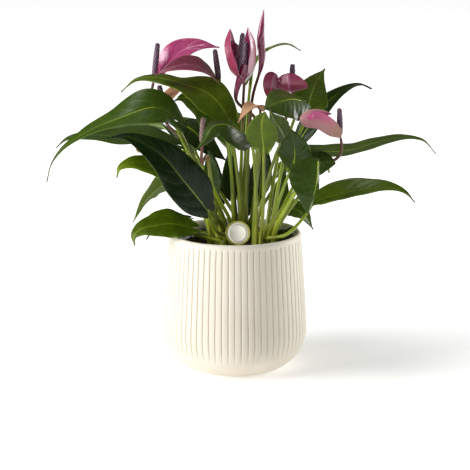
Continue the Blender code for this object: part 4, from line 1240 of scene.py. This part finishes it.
def crumb_recipe() -> bpy.types.NodeTree:
    """The tree that strews crumbs of bark and peat over the soil's top.

    Returns:
        The tree.
    """
    wiring, given, leaving = recipe("crumbs_on_soil", {
        "Density": 200000.0, "Smallest": 0.0006, "Largest": 0.0022, "Mix": "Material"})
    small, large = given["Smallest"], given["Largest"]
    spots = wiring.node("GeometryNodeDistributePointsOnFaces", {
        "Mesh": given["Geometry"], "Selection": wiring.math("GREATER_THAN", wiring.named("on_top"), 0.5),
        "Density": given["Density"], "Seed": 5})
    crumb = wiring.node("GeometryNodeMeshIcoSphere", {"Radius": 1.0, "Subdivisions": 1})
    turn = wiring.chance((0.0, 0.0, 0.0), (6.3, 6.3, 6.3), 3)
    size = wiring.chance(wiring.xyz(small, small, small), wiring.xyz(large, large * 0.6, large * 0.4), 8)
    crumbs = wiring.node("GeometryNodeInstanceOnPoints", {
        "Points": spots, "Instance": crumb, "Rotation": turn, "Scale": size})
    return wiring.end(leaving, given["Mix"], crumbs, given["Geometry"])


def soil_height(x: float, y: float) -> float:
    """The height of the soil's gently mounded top."""
    return SOIL_TOP + SOIL_MOUND * (1 - (x * x + y * y) / SOIL_RADIUS**2)


@dataclass
class CeramicPot:
    """The cream ceramic pot: a turned wall with a round rim and grooves between broad ribs."""

    rim_round: float = 0.0022
    rim_radius: float = 0.0691
    inner_heights: tuple = (0.1365, 0.1, 0.064, 0.036, 0.020)
    floor_radius: float = 0.050
    rib_columns: tuple = (-0.5, -0.32, -0.2, -0.14, -0.09, -0.045, 0.0, 0.045, 0.09, 0.14, 0.2, 0.32)

    def profile(self) -> tuple[np.ndarray, np.ndarray]:
        """Radius and height from the base's centre up the outside, over the rim and down to the inner floor.

        Returns:
            The profile, and for each of its points 1 where it is on the grooved outer side.
        """
        side = smooth_path(POT_SIDE[::-1], 300)
        heights = np.concatenate([np.linspace(*part) for part in (
            (0.0, 0.012, 12), (0.0135, 0.019, 8), (0.024, 0.130, 14), (0.1335, 0.1385, 8), (0.140, 0.1425, 3))])
        outer = np.stack([np.interp(heights, side[:, 1], side[:, 0]), heights], axis=1)
        angles = np.radians(np.linspace(10.0, 180.0, 9))
        arc = self.rim_round * np.stack([np.cos(angles), np.sin(angles)], axis=1)
        rim = arc + (self.rim_radius - self.rim_round, POT_HEIGHT - self.rim_round)
        inner = [(np.interp(z, side[:, 1], side[:, 0]) - POT_WALL, z) for z in self.inner_heights]
        points = [(0.0, 0.0), *outer, *rim, *inner, (self.floor_radius, POT_FLOOR), (0.0, POT_FLOOR)]
        outside = np.zeros(len(points))
        outside[1:1 + len(outer)] = 1.0
        return np.array(points), outside

    def build(self) -> None:
        """The pot, grooved and dressed."""
        columns = (np.arange(RIB_COUNT)[:, None] + np.array(self.rib_columns)).ravel() / RIB_COUNT
        profile, outside = self.profile()
        piece = Shape(*turned_shell(profile, columns * FULL_TURN)).piece("ribbed_pot", POT_SKIN)
        mark_points(piece.data, "outside", np.append(np.repeat(outside[1:-1], len(columns)), (0, 0)))
        follow_recipe(piece, groove_recipe(), {"Ribs": RIB_COUNT, "Clay": POT_SKIN.material()})
        hand_over(piece, Slot.POT, "pot")


@dataclass
class NurseryPot:
    """The thin black pot that the plant was grown in, corrugated round its wall."""

    waves: int = 40
    wave_depth: float = 0.0003
    columns: int = 320
    lip: float = 0.0016
    lip_height: float = 0.0036
    edge: float = 0.0003
    foot_round: float = 0.001

    def build(self) -> None:
        """The grower's pot, dressed."""
        low, high, foot, top = POT_FLOOR + GAP, GROWER_TOP, GROWER_FOOT, SOIL_RADIUS + GAP
        wall, edge, bend = GROWER_WALL, self.edge, self.foot_round
        lip, under = top + wall + self.lip, high - self.lip_height
        profile = (
            (0.0, low), (foot + wall - bend, low), (foot + wall, low + bend), (top + wall, under - 0.0014),
            (lip - edge, under - 0.0004), (lip, under), (lip, high - edge), (lip - edge, high),
            (top + 0.0002, high), (top, high - edge), (foot, low + wall + bend), (foot - bend, low + wall),
            (0.0, low + wall))
        points, faces = turned_shell(profile, ring_angles(self.columns))
        radius = np.hypot(points[:, 0], points[:, 1])
        wave = self.wave_depth * np.cos(self.waves * np.arctan2(points[:, 1], points[:, 0]))
        wave *= smoothstep(0.03, 0.05, radius)
        points[:, :2] *= (1 + wave / np.maximum(radius, 0.01))[:, None]
        piece = Shape(points, faces).piece("nursery_pot", GROWER_SKIN)
        hand_over(piece, Slot.GROWER_POT, "grower_pot", crease=40)


@dataclass
class PottingMix:
    """The soil: a mounded, uneven top strewn with crumbs."""

    rings: int = 26
    columns: int = 110
    unevenness: float = 0.0016
    crumbs: float = 220000.0

    def build(self) -> None:
        """The soil, strewn and dressed."""
        low = POT_FLOOR + GROWER_WALL + 2 * GAP
        lean = (SOIL_RADIUS - GROWER_FOOT) / (GROWER_TOP - low)
        edge = GROWER_FOOT + lean * (SOIL_TOP - low) - 2 * GAP
        mound = [(radius, soil_height(radius, 0.0)) for radius in np.linspace(edge, 0.0, self.rings)]
        profile = [(0.0, low), (GROWER_FOOT - 2 * GAP, low), *mound]
        points, faces = turned_shell(profile, ring_angles(self.columns))
        on_top = (points[:, 2] > SOIL_TOP - 0.002).astype(float)
        for i in np.flatnonzero(on_top):
            x, y, _ = points[i]
            broad = noise.noise(Vector((x * 160, y * 160, 0.0)))
            fine = noise.noise(Vector((x * 420, y * 420, 3.0)))
            points[i, 2] += self.unevenness * (broad + 0.6 * fine)
        piece = Shape(points, faces).piece("potting_mix_top", SOIL_SKIN)
        mark_points(piece.data, "on_top", on_top)
        follow_recipe(piece, crumb_recipe(), {"Density": self.crumbs, "Mix": SOIL_SKIN.material()})
        hand_over(piece, Slot.SOIL, "soil")


@dataclass
class PlantTag:
    """The round tag, its face bare within a raised rim, on a thin stake."""

    rim: float = 0.0011
    edge: float = 0.0003
    thickness: float = 0.0012
    stake_radius: float = 0.0013
    stake_steps: int = 16

    def build(self) -> None:
        """The tag and its stake, dressed."""
        back, face, crest, edge = -0.0005, 0.0004, self.thickness, self.edge
        inner = TAG_RADIUS - self.rim
        ring = inner - 0.0026
        profile = (
            (0.0, back), (TAG_RADIUS - edge, back), (TAG_RADIUS, back + edge), (TAG_RADIUS, crest - edge),
            (TAG_RADIUS - 0.0002, crest), (inner + edge, crest), (inner, crest - 0.0002), (inner - edge, face),
            (ring, face), (ring - 0.0003, face + edge), (ring - 0.0007, face + edge), (ring - 0.001, face),
            (0.0, face))
        disc = Shape(*turned_shell(profile, ring_angles(96))).piece("tag_face", TAG_SKIN)
        disc.data.transform(Matrix.Translation(TAG_PLACE) @ Matrix.Rotation(TAG_TILT, 4, "X"))
        hand_over(disc, Slot.TAG, "tag_disc", crease=50)
        x, y = STAKE_FOOT
        ground = soil_height(x, y)
        behind_disc = (x, TAG_PLACE[1] + 0.0024, TAG_PLACE[2] + 0.004)
        line = smooth_path([(x, y, ground - STEM_DEPTH), (x, y, ground + 0.006), behind_disc], self.stake_steps)
        girth = np.full(self.stake_steps, self.stake_radius)
        stake = Shape().piece_on_stalk("tag_pick", STAKE_SKIN, 0.5, line, girth, STAKE_SKIN, sides=12)
        hand_over(stake, Slot.STAKE, "tag_stake", crease=50)


def search_tree(points: np.ndarray) -> KDTree:
    """Makes points ready to be searched for those near a place.

    Args:
        points: The points, three numbers each.

    Returns:
        The tree to search, with the points numbered as they come.
    """
    tree = KDTree(len(points))
    for index, place in enumerate(points):
        tree.insert(place, index)
    tree.balance()
    return tree


class StalkRoutes:
    """Finds every stalk's foot in the soil and a centre line that keeps clear of its neighbours."""

    samples = 40
    rounds = 120
    room = 2 * STALK_FOOT_RADIUS + 0.0018
    room_by_blade = STALK_FOOT_RADIUS + 0.0024
    push = 0.35
    push_by_blade = 0.15
    foot_lean = 0.012

    def __init__(self) -> None:
        """Works out all the routes."""
        plans = {**{f"leaf_{name}": plan for name, plan in LEAVES.items()},
                 **{f"bloom_{name}": plan for name, plan in BLOOMS.items()}}
        goals = {name: self.goal(plan) for name, plan in plans.items()}
        goals["bud"] = ("middle", (), np.array(BUD_AXIS[0]), None)
        feet = self.place_feet(goals)
        paths = {name: self.plain_route(feet[name], *goal[1:]) for name, goal in goals.items()}
        self.paths = self.spread(paths, {name: plan.blade for name, plan in plans.items() if plan.blade})

    @staticmethod
    def goal(plan: LeafPlan | BloomPlan) -> tuple:
        """Where a stalk goes.

        Args:
            plan: Its leaf's plan or its bloom's.

        Returns:
            Its crown, the points it passes, its end, and the way it arrives there if that is set.
        """
        if isinstance(plan, LeafPlan):
            return plan.crown, plan.via, np.array(plan.blade.midrib[0]) - plan.blade.frames()[2][0] * 0.0016, None
        if plan.spadix:
            seat, top = np.array(plan.spadix)
            return plan.crown, plan.via, seat, top - seat
        return plan.crown, plan.via, np.array(plan.blade.midrib[0]), None

    def place_feet(self, goals: dict[str, tuple]) -> dict[str, tuple]:
        """Gives each stalk the free spot of its crown that lies most toward the first point it goes to.

        Args:
            goals: What goal() gives for each stalk.

        Returns:
            For each stalk the x and y of its foot.
        """
        feet = {}
        aims = {name: np.array(via[0] if via else end)[:2] for name, (_, via, end, _) in goals.items()}
        steps = range(-4, 5)
        row_height = math.sqrt(3) / 2
        spots = [(STEM_SPACING * (i + 0.5 * j), STEM_SPACING * j * row_height) for i in steps for j in steps]
        spots.sort(key=lambda spot: (round(math.hypot(*spot), 5), round(math.atan2(spot[1], spot[0]), 5)))
        for crown, centre in CROWNS.items():
            names = [name for name, goal in goals.items() if goal[0] == crown]
            free = [np.array(centre) + spot for spot in spots[:len(names)]]
            for name in sorted(names, key=lambda name: -math.dist(aims[name], centre)):
                lean = aims[name] - centre
                wanted = centre + self.foot_lean * lean / max(np.linalg.norm(lean), 0.001)
                best = min(range(len(free)), key=lambda k: math.dist(free[k], wanted))
                feet[name] = free.pop(best)
        return feet

    def plain_route(self, foot: tuple, via: tuple, end: np.ndarray, arrive: np.ndarray | None) -> np.ndarray:
        """A stalk's centre line from the soil to its end, before it makes room for others.

        Args:
            foot: The x and y of its foot.
            via: The points it passes.
            end: Its end.
            arrive: The way it arrives there, or nothing for one that follows from its lean.

        Returns:
            The line's points.
        """
        x, y = foot
        if arrive is None:
            lean = np.array([end[0] - x, end[1] - y, 0.0])
            arrive = np.array([0.0, 0.0, 1.0]) + 0.5 * lean / max(np.linalg.norm(lean), 0.02)
        start = np.array([x, y, soil_height(x, y) + 0.002])
        span = np.linalg.norm(end - start)
        first = start + np.array([0.0, 0.0, 0.10 * span])
        last = end - unit(arrive) * 0.16 * span
        return smooth_path([start, first, *(np.array(point) for point in via), last, end], self.samples)

    def young_route(self, plan: LeafPlan, seed: int) -> np.ndarray:
        """A young leaf's stalk, from beside its crown straight up to its blade's heel.

        Args:
            plan: The leaf's plan.
            seed: The leaf's number, which turns its foot round the crown.

        Returns:
            The line's points.
        """
        heel = np.array(plan.blade.midrib[0])
        turn = seed * 2.4
        beside = 0.003 * np.array([math.cos(turn), math.sin(turn)])
        foot = 0.6 * np.array(CROWNS[plan.crown]) + 0.4 * heel[:2] + beside
        return self.plain_route(foot, (), heel + (0.0, 0.0014, 0.0), None)

    def spread(self, paths: dict[str, np.ndarray], blades: dict[str, Blade]) -> dict[str, np.ndarray]:
        """Bends the stalks clear of each other and of the blades that they pass.

        Args:
            paths: The plain routes.
            blades: The blades, which don't move.

        Returns:
            The routes with room between them.
        """
        names = list(paths)
        base = np.stack(list(paths.values()))
        shift = np.zeros_like(base)
        owner = np.repeat(np.arange(len(names)), self.samples)
        v, u = np.meshgrid(np.linspace(0, 0.97, 17), np.linspace(-1, 1, 7), indexing="ij")
        walls = np.concatenate([blade.surface(v, u).reshape(-1, 3) for blade in blades.values()])
        wall_owner = np.repeat([names.index(name) for name in blades], v.size)
        still = (search_tree(walls), wall_owner, self.room_by_blade, self.push_by_blade)
        for _ in range(self.rounds):
            points = (base + shift).reshape(-1, 3)
            moving = (search_tree(points), owner, self.room, self.push)
            moves = np.zeros_like(points)
            for index, place in enumerate(points):
                for tree, owners, room, push in (moving, still):
                    for other_place, other, gap in tree.find_range(place, room):
                        if owners[other] != owner[index] and gap > 1e-6:
                            moves[index] += (place - np.array(other_place)) / gap * (room - gap) * push
            shift += moves.reshape(base.shape)
            for _ in range(2):
                shift[:, 1:-1] = 0.5 * shift[:, 1:-1] + 0.25 * (shift[:, :-2] + shift[:, 2:])
            shift[:, :2] = shift[:, :3].mean(axis=1, keepdims=True) * (1.0, 1.0, 0.0)
            shift[:, -2:] = 0.0
        return dict(zip(names, base + shift))

    def from_soil(self, name: str) -> np.ndarray:
        """A stalk's centre line from the bottom of its hole."""
        x, y, _ = self.paths[name][0]
        return np.concatenate([[[x, y, soil_height(x, y) - STEM_DEPTH]], self.paths[name]])


@dataclass(frozen=True)
class Relief:
    """The low relief of a blade: what its veins, midrib and margin do to its thickness and height."""

    veins: int = 9
    puff: float = 0.00030
    trough: float = 0.00045
    trough_width: float = 0.0011
    rib: float = 0.0006
    rib_width: float = 0.0013
    roll: float = 0.0005
    wave: float = 0.035
    thickness: float = 0.0006


LEAF_RELIEF = Relief()
SPATHE_RELIEF = Relief(veins=6, puff=0.00014, trough=0.0002, rib=0.0003, roll=0.0002, wave=0.02, thickness=0.0007)

# Places of a blade's columns of points from midrib to margin, closer at both
HALF_COLUMNS = (0.0, 0.02, 0.045, 0.08, 0.13, 0.19, 0.26, 0.33, 0.41, 0.49, 0.57, 0.65, 0.73, 0.81, 0.88, 0.94,
                0.98, 1.0)


@dataclass
class BladeShell:
    """The thin closed shell of a leaf's blade or a spathe."""

    blade: Blade
    relief: Relief
    seed: int
    rows: int = 60

    def add_to(self, shape: Shape) -> None:
        """Adds the shell to a piece.

        Args:
            shape: The piece's shells.
        """
        columns = np.array([*(-place for place in HALF_COLUMNS[:0:-1]), *HALF_COLUMNS])
        v, u = np.meshgrid(np.linspace(0.0, 1.0, self.rows), columns, indexing="ij")
        top = self.blade.surface(v, u, self.lift(v, u))
        normal = unit(np.cross(np.gradient(top, axis=1), np.gradient(top, axis=0)))
        near_rib = np.exp(-((np.abs(u) * self.blade.half_width(v) / self.relief.rib_width) ** 2))
        depth = self.relief.thickness + self.relief.rib * near_rib * (1 - v) ** 0.7
        depth = depth + 0.3 * self.relief.puff * self.vein_lines(v, u)
        points = np.stack([top, top - normal * depth[..., None]])
        pattern = np.stack([np.stack([u, v, np.full_like(u, side)], axis=-1) for side in (0.0, 1.0)])
        shape.add(points, shell_faces(*v.shape), pattern)

    def vein_lines(self, v: np.ndarray, u: np.ndarray) -> np.ndarray:
        """The side veins, where the blade's skin has them.

        Args:
            v: 0 to 1 from heel to tip.
            u: -1 to 1 from margin to margin.

        Returns:
            1 on each vein and 0 between.
        """
        rank = (v - 0.22 * np.abs(u) ** 1.25) * self.relief.veins
        off = np.abs(rank - np.floor(rank) - 0.5)
        return np.exp(-((off / 0.10) ** 2)) * (1 - smoothstep(0.75, 1.0, np.abs(u)))

    def lift(self, v: np.ndarray, u: np.ndarray) -> np.ndarray:
        """The height of the relief over the plain blade.

        Args:
            v: 0 to 1 from heel to tip.
            u: -1 to 1 from margin to margin.

        Returns:
            The heights.
        """
        reach = np.abs(u)
        half = self.blade.half_width(v)
        draw = np.random.default_rng(self.seed)
        phases = draw.uniform(0, FULL_TURN, 4)
        turns = draw.uniform(1.6, 2.6, 2)
        right = np.sin(FULL_TURN * turns[0] * v + phases[0]) + 0.5 * np.sin(FULL_TURN * 5.1 * v + phases[1])
        left = np.sin(FULL_TURN * turns[1] * v + phases[2]) + 0.5 * np.sin(FULL_TURN * 4.3 * v + phases[3])
        wave = self.relief.wave * half * reach**2 * np.where(u > 0, right, left)
        wave *= smoothstep(0.0, 0.15, v) * (1 - smoothstep(0.8, 1.0, v))
        puff = -self.relief.puff * self.vein_lines(v, u) * smoothstep(0.0, 0.2, reach)
        near_rib = np.exp(-((reach * half / self.relief.trough_width) ** 2))
        trough = -self.relief.trough * near_rib * (1 - v) ** 0.5
        return wave + puff + trough - self.relief.roll * smoothstep(0.84, 1.0, reach)


def softened(points: np.ndarray, middle: int, reach: int = 4, passes: int = 5) -> np.ndarray:
    """A line with one of its bends eased.

    Args:
        points: The line's points.
        middle: The point that the bend is at.
        reach: How many points to each side move with it.
        passes: How often they move.

    Returns:
        The points.
    """
    points = points.copy()
    low, high = max(1, middle - reach), min(len(points) - 1, middle + reach)
    for _ in range(passes):
        points[low:high] = 0.5 * points[low:high] + 0.25 * (points[low - 1:high - 1] + points[low + 1:high + 1])
    return points


def stalk_radius(count: int) -> np.ndarray:
    """A stalk's radius at each of its points, from foot to heel."""
    return np.linspace(STALK_FOOT_RADIUS, STALK_HEEL_RADIUS, count)


@dataclass
class Leaf:
    """One leaf: a blade on its petiole, which swells below the blade and runs on under it as the keel."""

    name: str
    plan: LeafPlan
    route: np.ndarray
    seed: int
    nodes: tuple = ()
    keel_steps: int = 26
    keel_radii: tuple = (0.00115, 0.00035)
    knee_swell: float = 0.28
    foot_swell: float = 0.25

    def build(self) -> None:
        """The leaf, dressed."""
        shape = Shape()
        BladeShell(self.plan.blade, LEAF_RELIEF, self.seed).add_to(shape)
        points, _, up, _ = self.plan.blade.frames()
        taken = np.linspace(2, 50, self.keel_steps).round().astype(int)
        keel_radius = np.linspace(*self.keel_radii, self.keel_steps)
        keel = points[taken] - up[taken] * (LEAF_RELIEF.thickness + 0.4 * keel_radius[:, None])
        line = softened(np.concatenate([self.route, keel]), len(self.route))
        share = np.linspace(0.0, 1.0, len(self.route))
        knee = self.knee_swell * np.exp(-(((share - 0.955) / 0.035) ** 2))
        foot = self.foot_swell * np.exp(-(share / 0.08) ** 2)
        girth = np.concatenate([stalk_radius(len(self.route)) * (1 + knee + foot), keel_radius])
        piece = shape.piece_on_stalk(
            f"foliage_{self.name}", LEAF_FINISHES[self.plan.slot], self.plan.tone, line, girth, PETIOLE_SKIN)
        hand_over(piece, self.plan.slot, *self.nodes, crease=55)


@dataclass
class Bloom:
    """One bloom: its stem with the spathe, and the spadix with its florets."""

    name: str
    plan: BloomPlan
    route: np.ndarray
    seed: int
    floret: bpy.types.Object
    spathe_rows: int = 48
    flap_rows: int = 32
    floret_spacing: float = 0.00235

    def stem(self) -> tuple[np.ndarray, np.ndarray]:
        """The stem's line, up to the spadix or under the spathe.

        Returns:
            The line's points, and the stem's radius at each.
        """
        radius = stalk_radius(len(self.route))
        if self.plan.spadix:
            seat, top = np.array(self.plan.spadix)
            neck = [seat - unit(top - seat) * back for back in (0.004, 0.002, 0.0)]
            flare = self.plan.spadix_radius * np.array((0.62, 0.78, 0.85))
            return np.concatenate([self.route[:-1], neck]), np.concatenate([radius[:-1], flare])
        points, _, up, _ = self.plan.blade.frames()
        keel = points[2:14:2] - up[2:14:2] * 0.0009
        line = softened(np.concatenate([self.route, keel]), len(self.route))
        return line, np.concatenate([radius, np.linspace(0.0011, 0.0005, len(keel))])

    def build_spathe(self) -> None:
        """The stem with its spathe, dressed."""
        shape = Shape()
        for blade, rows in ((self.plan.blade, self.spathe_rows), (self.plan.flap, self.flap_rows)):
            if blade:
                BladeShell(blade, SPATHE_RELIEF, self.seed, rows).add_to(shape)
        piece = shape.piece_on_stalk(
            f"flower_{self.name}", SPATHE_FINISHES[self.plan.slot], self.plan.tone, *self.stem(), STEM_SKIN)
        hand_over(piece, self.plan.slot, f"bloom_{self.name}", crease=55)

    def build_spadix(self) -> None:
        """The spadix: a smooth core covered by florets, set on the stem's end."""
        seat, top = np.array(self.plan.spadix)
        start = seat + unit(top - seat) * GAP
        length = float(np.linalg.norm(top - start))
        radius = self.plan.spadix_radius * 0.94
        share = np.concatenate([np.linspace(0.0, 0.92, 14), np.linspace(0.935, 0.995, 6)])
        body = (1 - 0.22 * share**2) * (0.86 + 0.14 * smoothstep(0.0, 0.35, share))
        tip = np.sqrt(np.maximum(1 - (np.maximum(share - 0.92, 0.0) / 0.082) ** 2, 0.0))
        rings = np.stack([radius * body * tip, share * length], axis=1)
        skin = OLD_SPADIX_SKIN if self.name == "bare" else SPADIX_SKIN
        core = Shape(*turned_shell([(0.0, 0.0), *rings, (0.0, length)], ring_angles(24)))
        piece = core.piece(f"spadix_{self.name}", skin)
        count = int(FULL_TURN * radius * 0.93 * length / self.floret_spacing**2)
        follow_recipe(piece, floret_recipe(), {
            "Count": count, "Length": length, "Radius": radius, "Floret Size": self.floret_spacing * 0.60,
            "Floret": self.floret, "Skin": skin.material()})
        turn = Vector(top - start).to_track_quat("Z", "Y").to_matrix().to_4x4()
        piece.data.transform(Matrix.Translation(Vector(start)) @ turn)
        hand_over(piece, Slot.SPADIX, f"bloom_{self.name}_spadix")

    def build(self) -> None:
        """The bloom's pieces."""
        self.build_spathe()
        if self.plan.spadix:
            self.build_spadix()


def floret_pattern() -> bpy.types.Object:
    """One floret, a unit across: four blunt lobes round a raised middle.

    Returns:
        The object that every spadix's florets are copies of.
    """
    angles = ring_angles(8)
    profile = ((0.0, -0.5), (0.98, -0.5), (0.94, 0.05), (0.62, 0.34), (0.30, 0.26), (0.0, 0.62))
    points, faces = turned_shell(profile, angles)
    points[:-2, :2] *= np.tile(1 + 0.10 * np.cos(4 * angles), len(profile) - 2)[:, None]
    pattern = np.zeros_like(points)
    # Each point's height on the floret, which places the painted highlight on its top
    pattern[:, 1] = np.clip(points[:, 2], 0.0, 1.0)
    return Shape(points, faces, pattern).piece("floret_pattern", SPADIX_SKIN)


@dataclass
class RolledBud:
    """The closed bud: a spathe still rolled round itself, on its stem."""

    route: np.ndarray
    rings: int = 40
    columns: int = 28
    overlap: float = 0.16
    spiral: float = 1.4
    tone: float = 0.25

    def build(self) -> None:
        """The bud, dressed."""
        axis = smooth_path(BUD_AXIS, self.rings)
        radius = np.interp(axis[:, 2], [point[2] for point in BUD_AXIS], BUD_RADII)
        for _ in range(3):
            radius[1:-1] = 0.5 * radius[1:-1] + 0.25 * (radius[:-2] + radius[2:])
        share = np.arange(self.columns) / self.columns
        turn = (share + self.spiral * np.arange(self.rings)[:, None] / self.rings) * FULL_TURN
        reach = radius[:, None] * (1 - self.overlap / 2 + self.overlap * share)
        rows = axis[:, None] + np.stack([reach * np.cos(turn), reach * np.sin(turn), 0 * turn], axis=-1)
        points = np.concatenate([rows.reshape(-1, 3), [axis[0], axis[-1] + (0, 0, 0.0006)]])
        pattern = np.zeros_like(points)
        pattern[:-2, 0] = np.tile(share * 1.2 - 0.6, self.rings)
        pattern[:-2, 1] = np.repeat(np.linspace(0.05, 0.95, self.rings), self.columns)
        piece = Shape(points, tube_faces(self.rings, self.columns), pattern).piece_on_stalk(
            "rolled_bud", SPATHE_FINISHES[Slot.SPATHE_PINK], self.tone, self.route, stalk_radius(len(self.route)),
            STEM_SKIN)
        hand_over(piece, Slot.SPATHE_PINK, "bud", crease=55)


@dataclass
class Studio:
    """A pale floor, soft lights and the camera at the photograph's angle."""

    aim: Vector = Vector((0.0, 0.0, 0.1408))
    distance: float = 2.35
    elevation: float = math.radians(12.7)
    lens: float = 171.4
    floor_radius: float = 14.0
    sky_strength: float = 0.10

    def build(self) -> None:
        """Sets up floor, lights, sky and camera."""
        low, high = -0.02, -0.0002
        profile = ((0.0, low), (self.floor_radius, low), (self.floor_radius, high), (0.0, high))
        floor = Shape(*turned_shell(profile, ring_angles(96))).piece("studio_floor", BACKDROP_SKIN)
        floor.data.set_sharp_from_angle(angle=math.radians(40))
        self.softbox("left", (-2.2, -0.8, 0.8), 1.3, 56.0)
        self.softbox("right", (2.1, 0.9, 0.7), 0.9, 32.0)
        self.softbox("top", (-0.5, -0.1, 2.3), 1.0, 20.0)
        world = bpy.data.worlds.new("studio")
        world.use_nodes = True
        sky = world.node_tree.nodes["Background"]
        sky.inputs["Color"].default_value = (1.0, 1.0, 1.0, 1.0)
        sky.inputs["Strength"].default_value = self.sky_strength
        scene = bpy.context.scene
        scene.world = world
        scene.view_settings.view_transform = "Standard"
        away = Vector((0.0, -math.cos(self.elevation), math.sin(self.elevation)))
        camera = self.aimed("camera", bpy.data.cameras.new("camera"), self.aim + away * self.distance)
        camera.data.lens = self.lens
        camera.data.sensor_width = 36.0
        camera.data.clip_end = 60.0
        scene.camera = camera

    def aimed(self, name: str, data: bpy.types.ID, place: Vector) -> bpy.types.Object:
        """A light or a camera that looks at the plant.

        Args:
            name: Its name.
            data: What it is.
            place: Where it stands.

        Returns:
            The object, in the scene.
        """
        made = bpy.data.objects.new(name, data)
        made.location = place
        made.rotation_euler = (self.aim - place).to_track_quat("-Z", "Y").to_euler()
        bpy.context.scene.collection.objects.link(made)
        return made

    def softbox(self, name: str, place: Point, size: float, power: float) -> None:
        """A square soft light that looks at the plant.

        Args:
            name: The light's name.
            place: Where it stands.
            size: Its side, in metres.
            power: In watts.
        """
        light = bpy.data.lights.new(name, "AREA")
        light.size = size
        light.energy = power
        self.aimed(name, light, Vector(place))


def main() -> None:
    """Builds the stage, then every piece from the pot up."""
    logging.basicConfig(level=logging.INFO, format="%(name)s: %(message)s")
    for part in (Studio, CeramicPot, NurseryPot, PottingMix, PlantTag):
        part().build()
    routes = StalkRoutes()
    for seed, (name, plan) in enumerate(LEAVES.items()):
        node = f"leaf_{name}"
        Leaf(name, plan, routes.from_soil(node), seed, (node,)).build()
    for seed, (name, plan) in enumerate(YOUNG_LEAVES.items(), start=80):
        Leaf(name, plan, routes.young_route(plan, seed), seed).build()
    floret = floret_pattern()
    for seed, (name, plan) in enumerate(BLOOMS.items(), start=len(LEAVES)):
        Bloom(name, plan, routes.from_soil(f"bloom_{name}"), seed, floret).build()
    bpy.data.objects.remove(floret)
    RolledBud(routes.from_soil("bud")).build()


if __name__ == "__main__":
    main()
